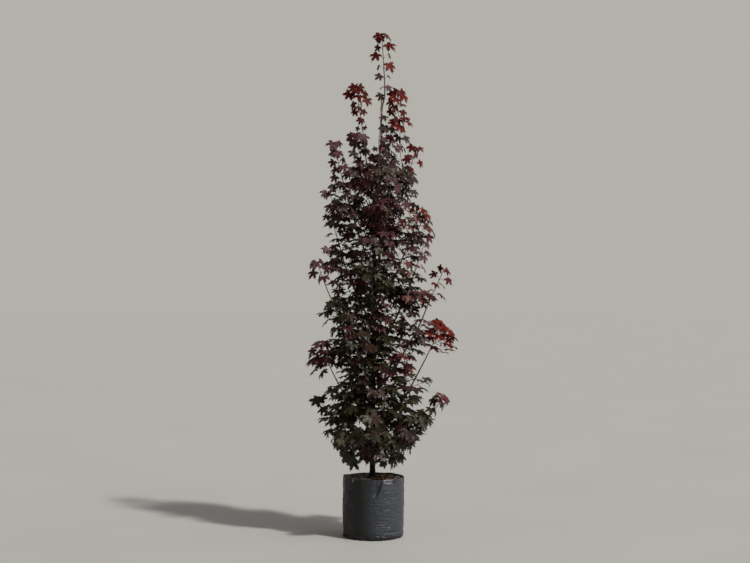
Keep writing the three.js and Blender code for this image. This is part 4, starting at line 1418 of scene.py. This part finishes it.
def litterParts():
    # Fallen leaves, curled and brown, most of them to the right
    draw = np.random.default_rng(litter["seed"])
    tilt = litter["tilt"]
    parts = []
    for k in range(litter["count"]):
        most = k < litter["mostly"]
        turn = math.radians(draw.uniform(*litter["mostTurns"])) if most else draw.uniform(0, 2 * math.pi)
        far = draw.uniform(*litter["reach"])
        normal = unit(np.array([draw.uniform(-tilt, tilt), draw.uniform(-tilt, tilt), 1]))
        axis = unit(np.cross(normal, outward(draw.uniform(0, 360))))
        blade = leafVariants[k % len(leafVariants)]
        size = litter["size"] * draw.uniform(*litter["sizes"])
        curled = blade["verts"] * [1, 1, -litter["curl"]]
        verts = curled @ bladeFrame(axis, normal).T * size + onCompost(far, turn, litter["lift"])
        parts.append({"verts": verts, "faces": [(block[:, ::-1], 0) for block, _ in blade["faces"]]})
    return parts


# Making

makeCamera()
makeLights()

floorFinish = {
    "first": studio["floorColor"], "second": [studio["floorMottle"] * c for c in studio["floorColor"]],
    "patch": 0.8, "rough": (0.7, 0.8), "grain": 30.0, "bump": (0.05, 0.001),
    "shader": {"Specular IOR Level": 0.1},
}
bpy.ops.mesh.primitive_circle_add(
    vertices=studio["floorSides"], radius=studio["floorRadius"], fill_type="NGON")
floor = bpy.context.object
floor.name = "floor"
floor.data.materials.append(makeFinish("paleFloor", floorFinish))
print("camera, lights and floor are set")

massNames = list(dict.fromkeys(one["mass"] for one in limbs))
boughNames = [one["bough"] for one in limbs if one["bough"]]
nodesOf = [growMass(one) for one in limbs]
growSpurs()
print(f"{len(grown['leaves'])} leaves grown on {len(grown['twigs'])} twigs and buds")

barkMaterial = makeFinish("maple bark", barkFinish)
twigMaterial = makeFinish("young bark", twigFinish)
makePiece("trunk_bark", [trunkPart()], [barkMaterial], ["trunk"])
makePiece("bough_bark", [limbPart(one, nodes) for one, nodes in zip(limbs, nodesOf)], [twigMaterial],
          [*boughNames, *massNames])
makePiece("twigs", grown["twigs"], [twigMaterial], massNames)
stalkMaterial = makeFinish("leaf stalk", {
    "first": (0.070, 0.012, 0.012), "second": (0.150, 0.030, 0.026), "patch": 40.0, "rough": (0.4, 0.55),
    "grain": 700.0, "bump": (0.2, 0.0002)})
makePiece("leaf_stalks", grown["stalks"], [stalkMaterial], massNames)
print("trunk, boughs, twigs and stalks are made")

for tint, (above, below, gloss, slot) in tints.items():
    parts = []
    for blade in grown["leaves"]:
        if blade["tint"] == tint:
            variant = leafVariants[blade["variant"]]
            verts = variant["verts"] @ blade["frame"].T * blade["size"] + blade["junction"]
            parts.append({"verts": verts, "faces": variant["faces"]})
    upper = leafMaterial(tint + " leaf", above, gloss, leafFinish["upperRough"])
    under = leafMaterial(tint + " leaf under", below, gloss, leafFinish["underRough"])
    makePiece("leaves_" + tint, parts, [upper, under], massNames, sharp=leafFinish["sharp"])
    print(f"{len(parts)} {tint} leaves")

filmMaterial = makeFinish("black film", filmFinish)
makePiece("bag_film", [bagPart()], [filmMaterial], ["bag"])
makePiece("bag_cuff", [cuffPart()], [makeFinish("film inside, painted sheen", cuffPaintedSheenFinish)], ["bag"])
print("bag is made")

makePiece("compost", [compostPart()], [makeFinish("compost", compostFinish)], ["soil"])
for seed, (kind, sizes) in enumerate(bits.items(), bit["seed"]):
    finish = {**bitFinish, "first": sizes["first"], "second": sizes["second"]}
    makePiece("compost_" + kind, bitsParts(kind, seed), [makeFinish("compost " + kind, finish)], ["soil"],
              sharp=bit["sharp"])
makePiece("fallen_leaves", litterParts(), [makeFinish("dry leaf", litterFinish)], ["soil"],
          sharp=leafFinish["sharp"])
print("compost is made")
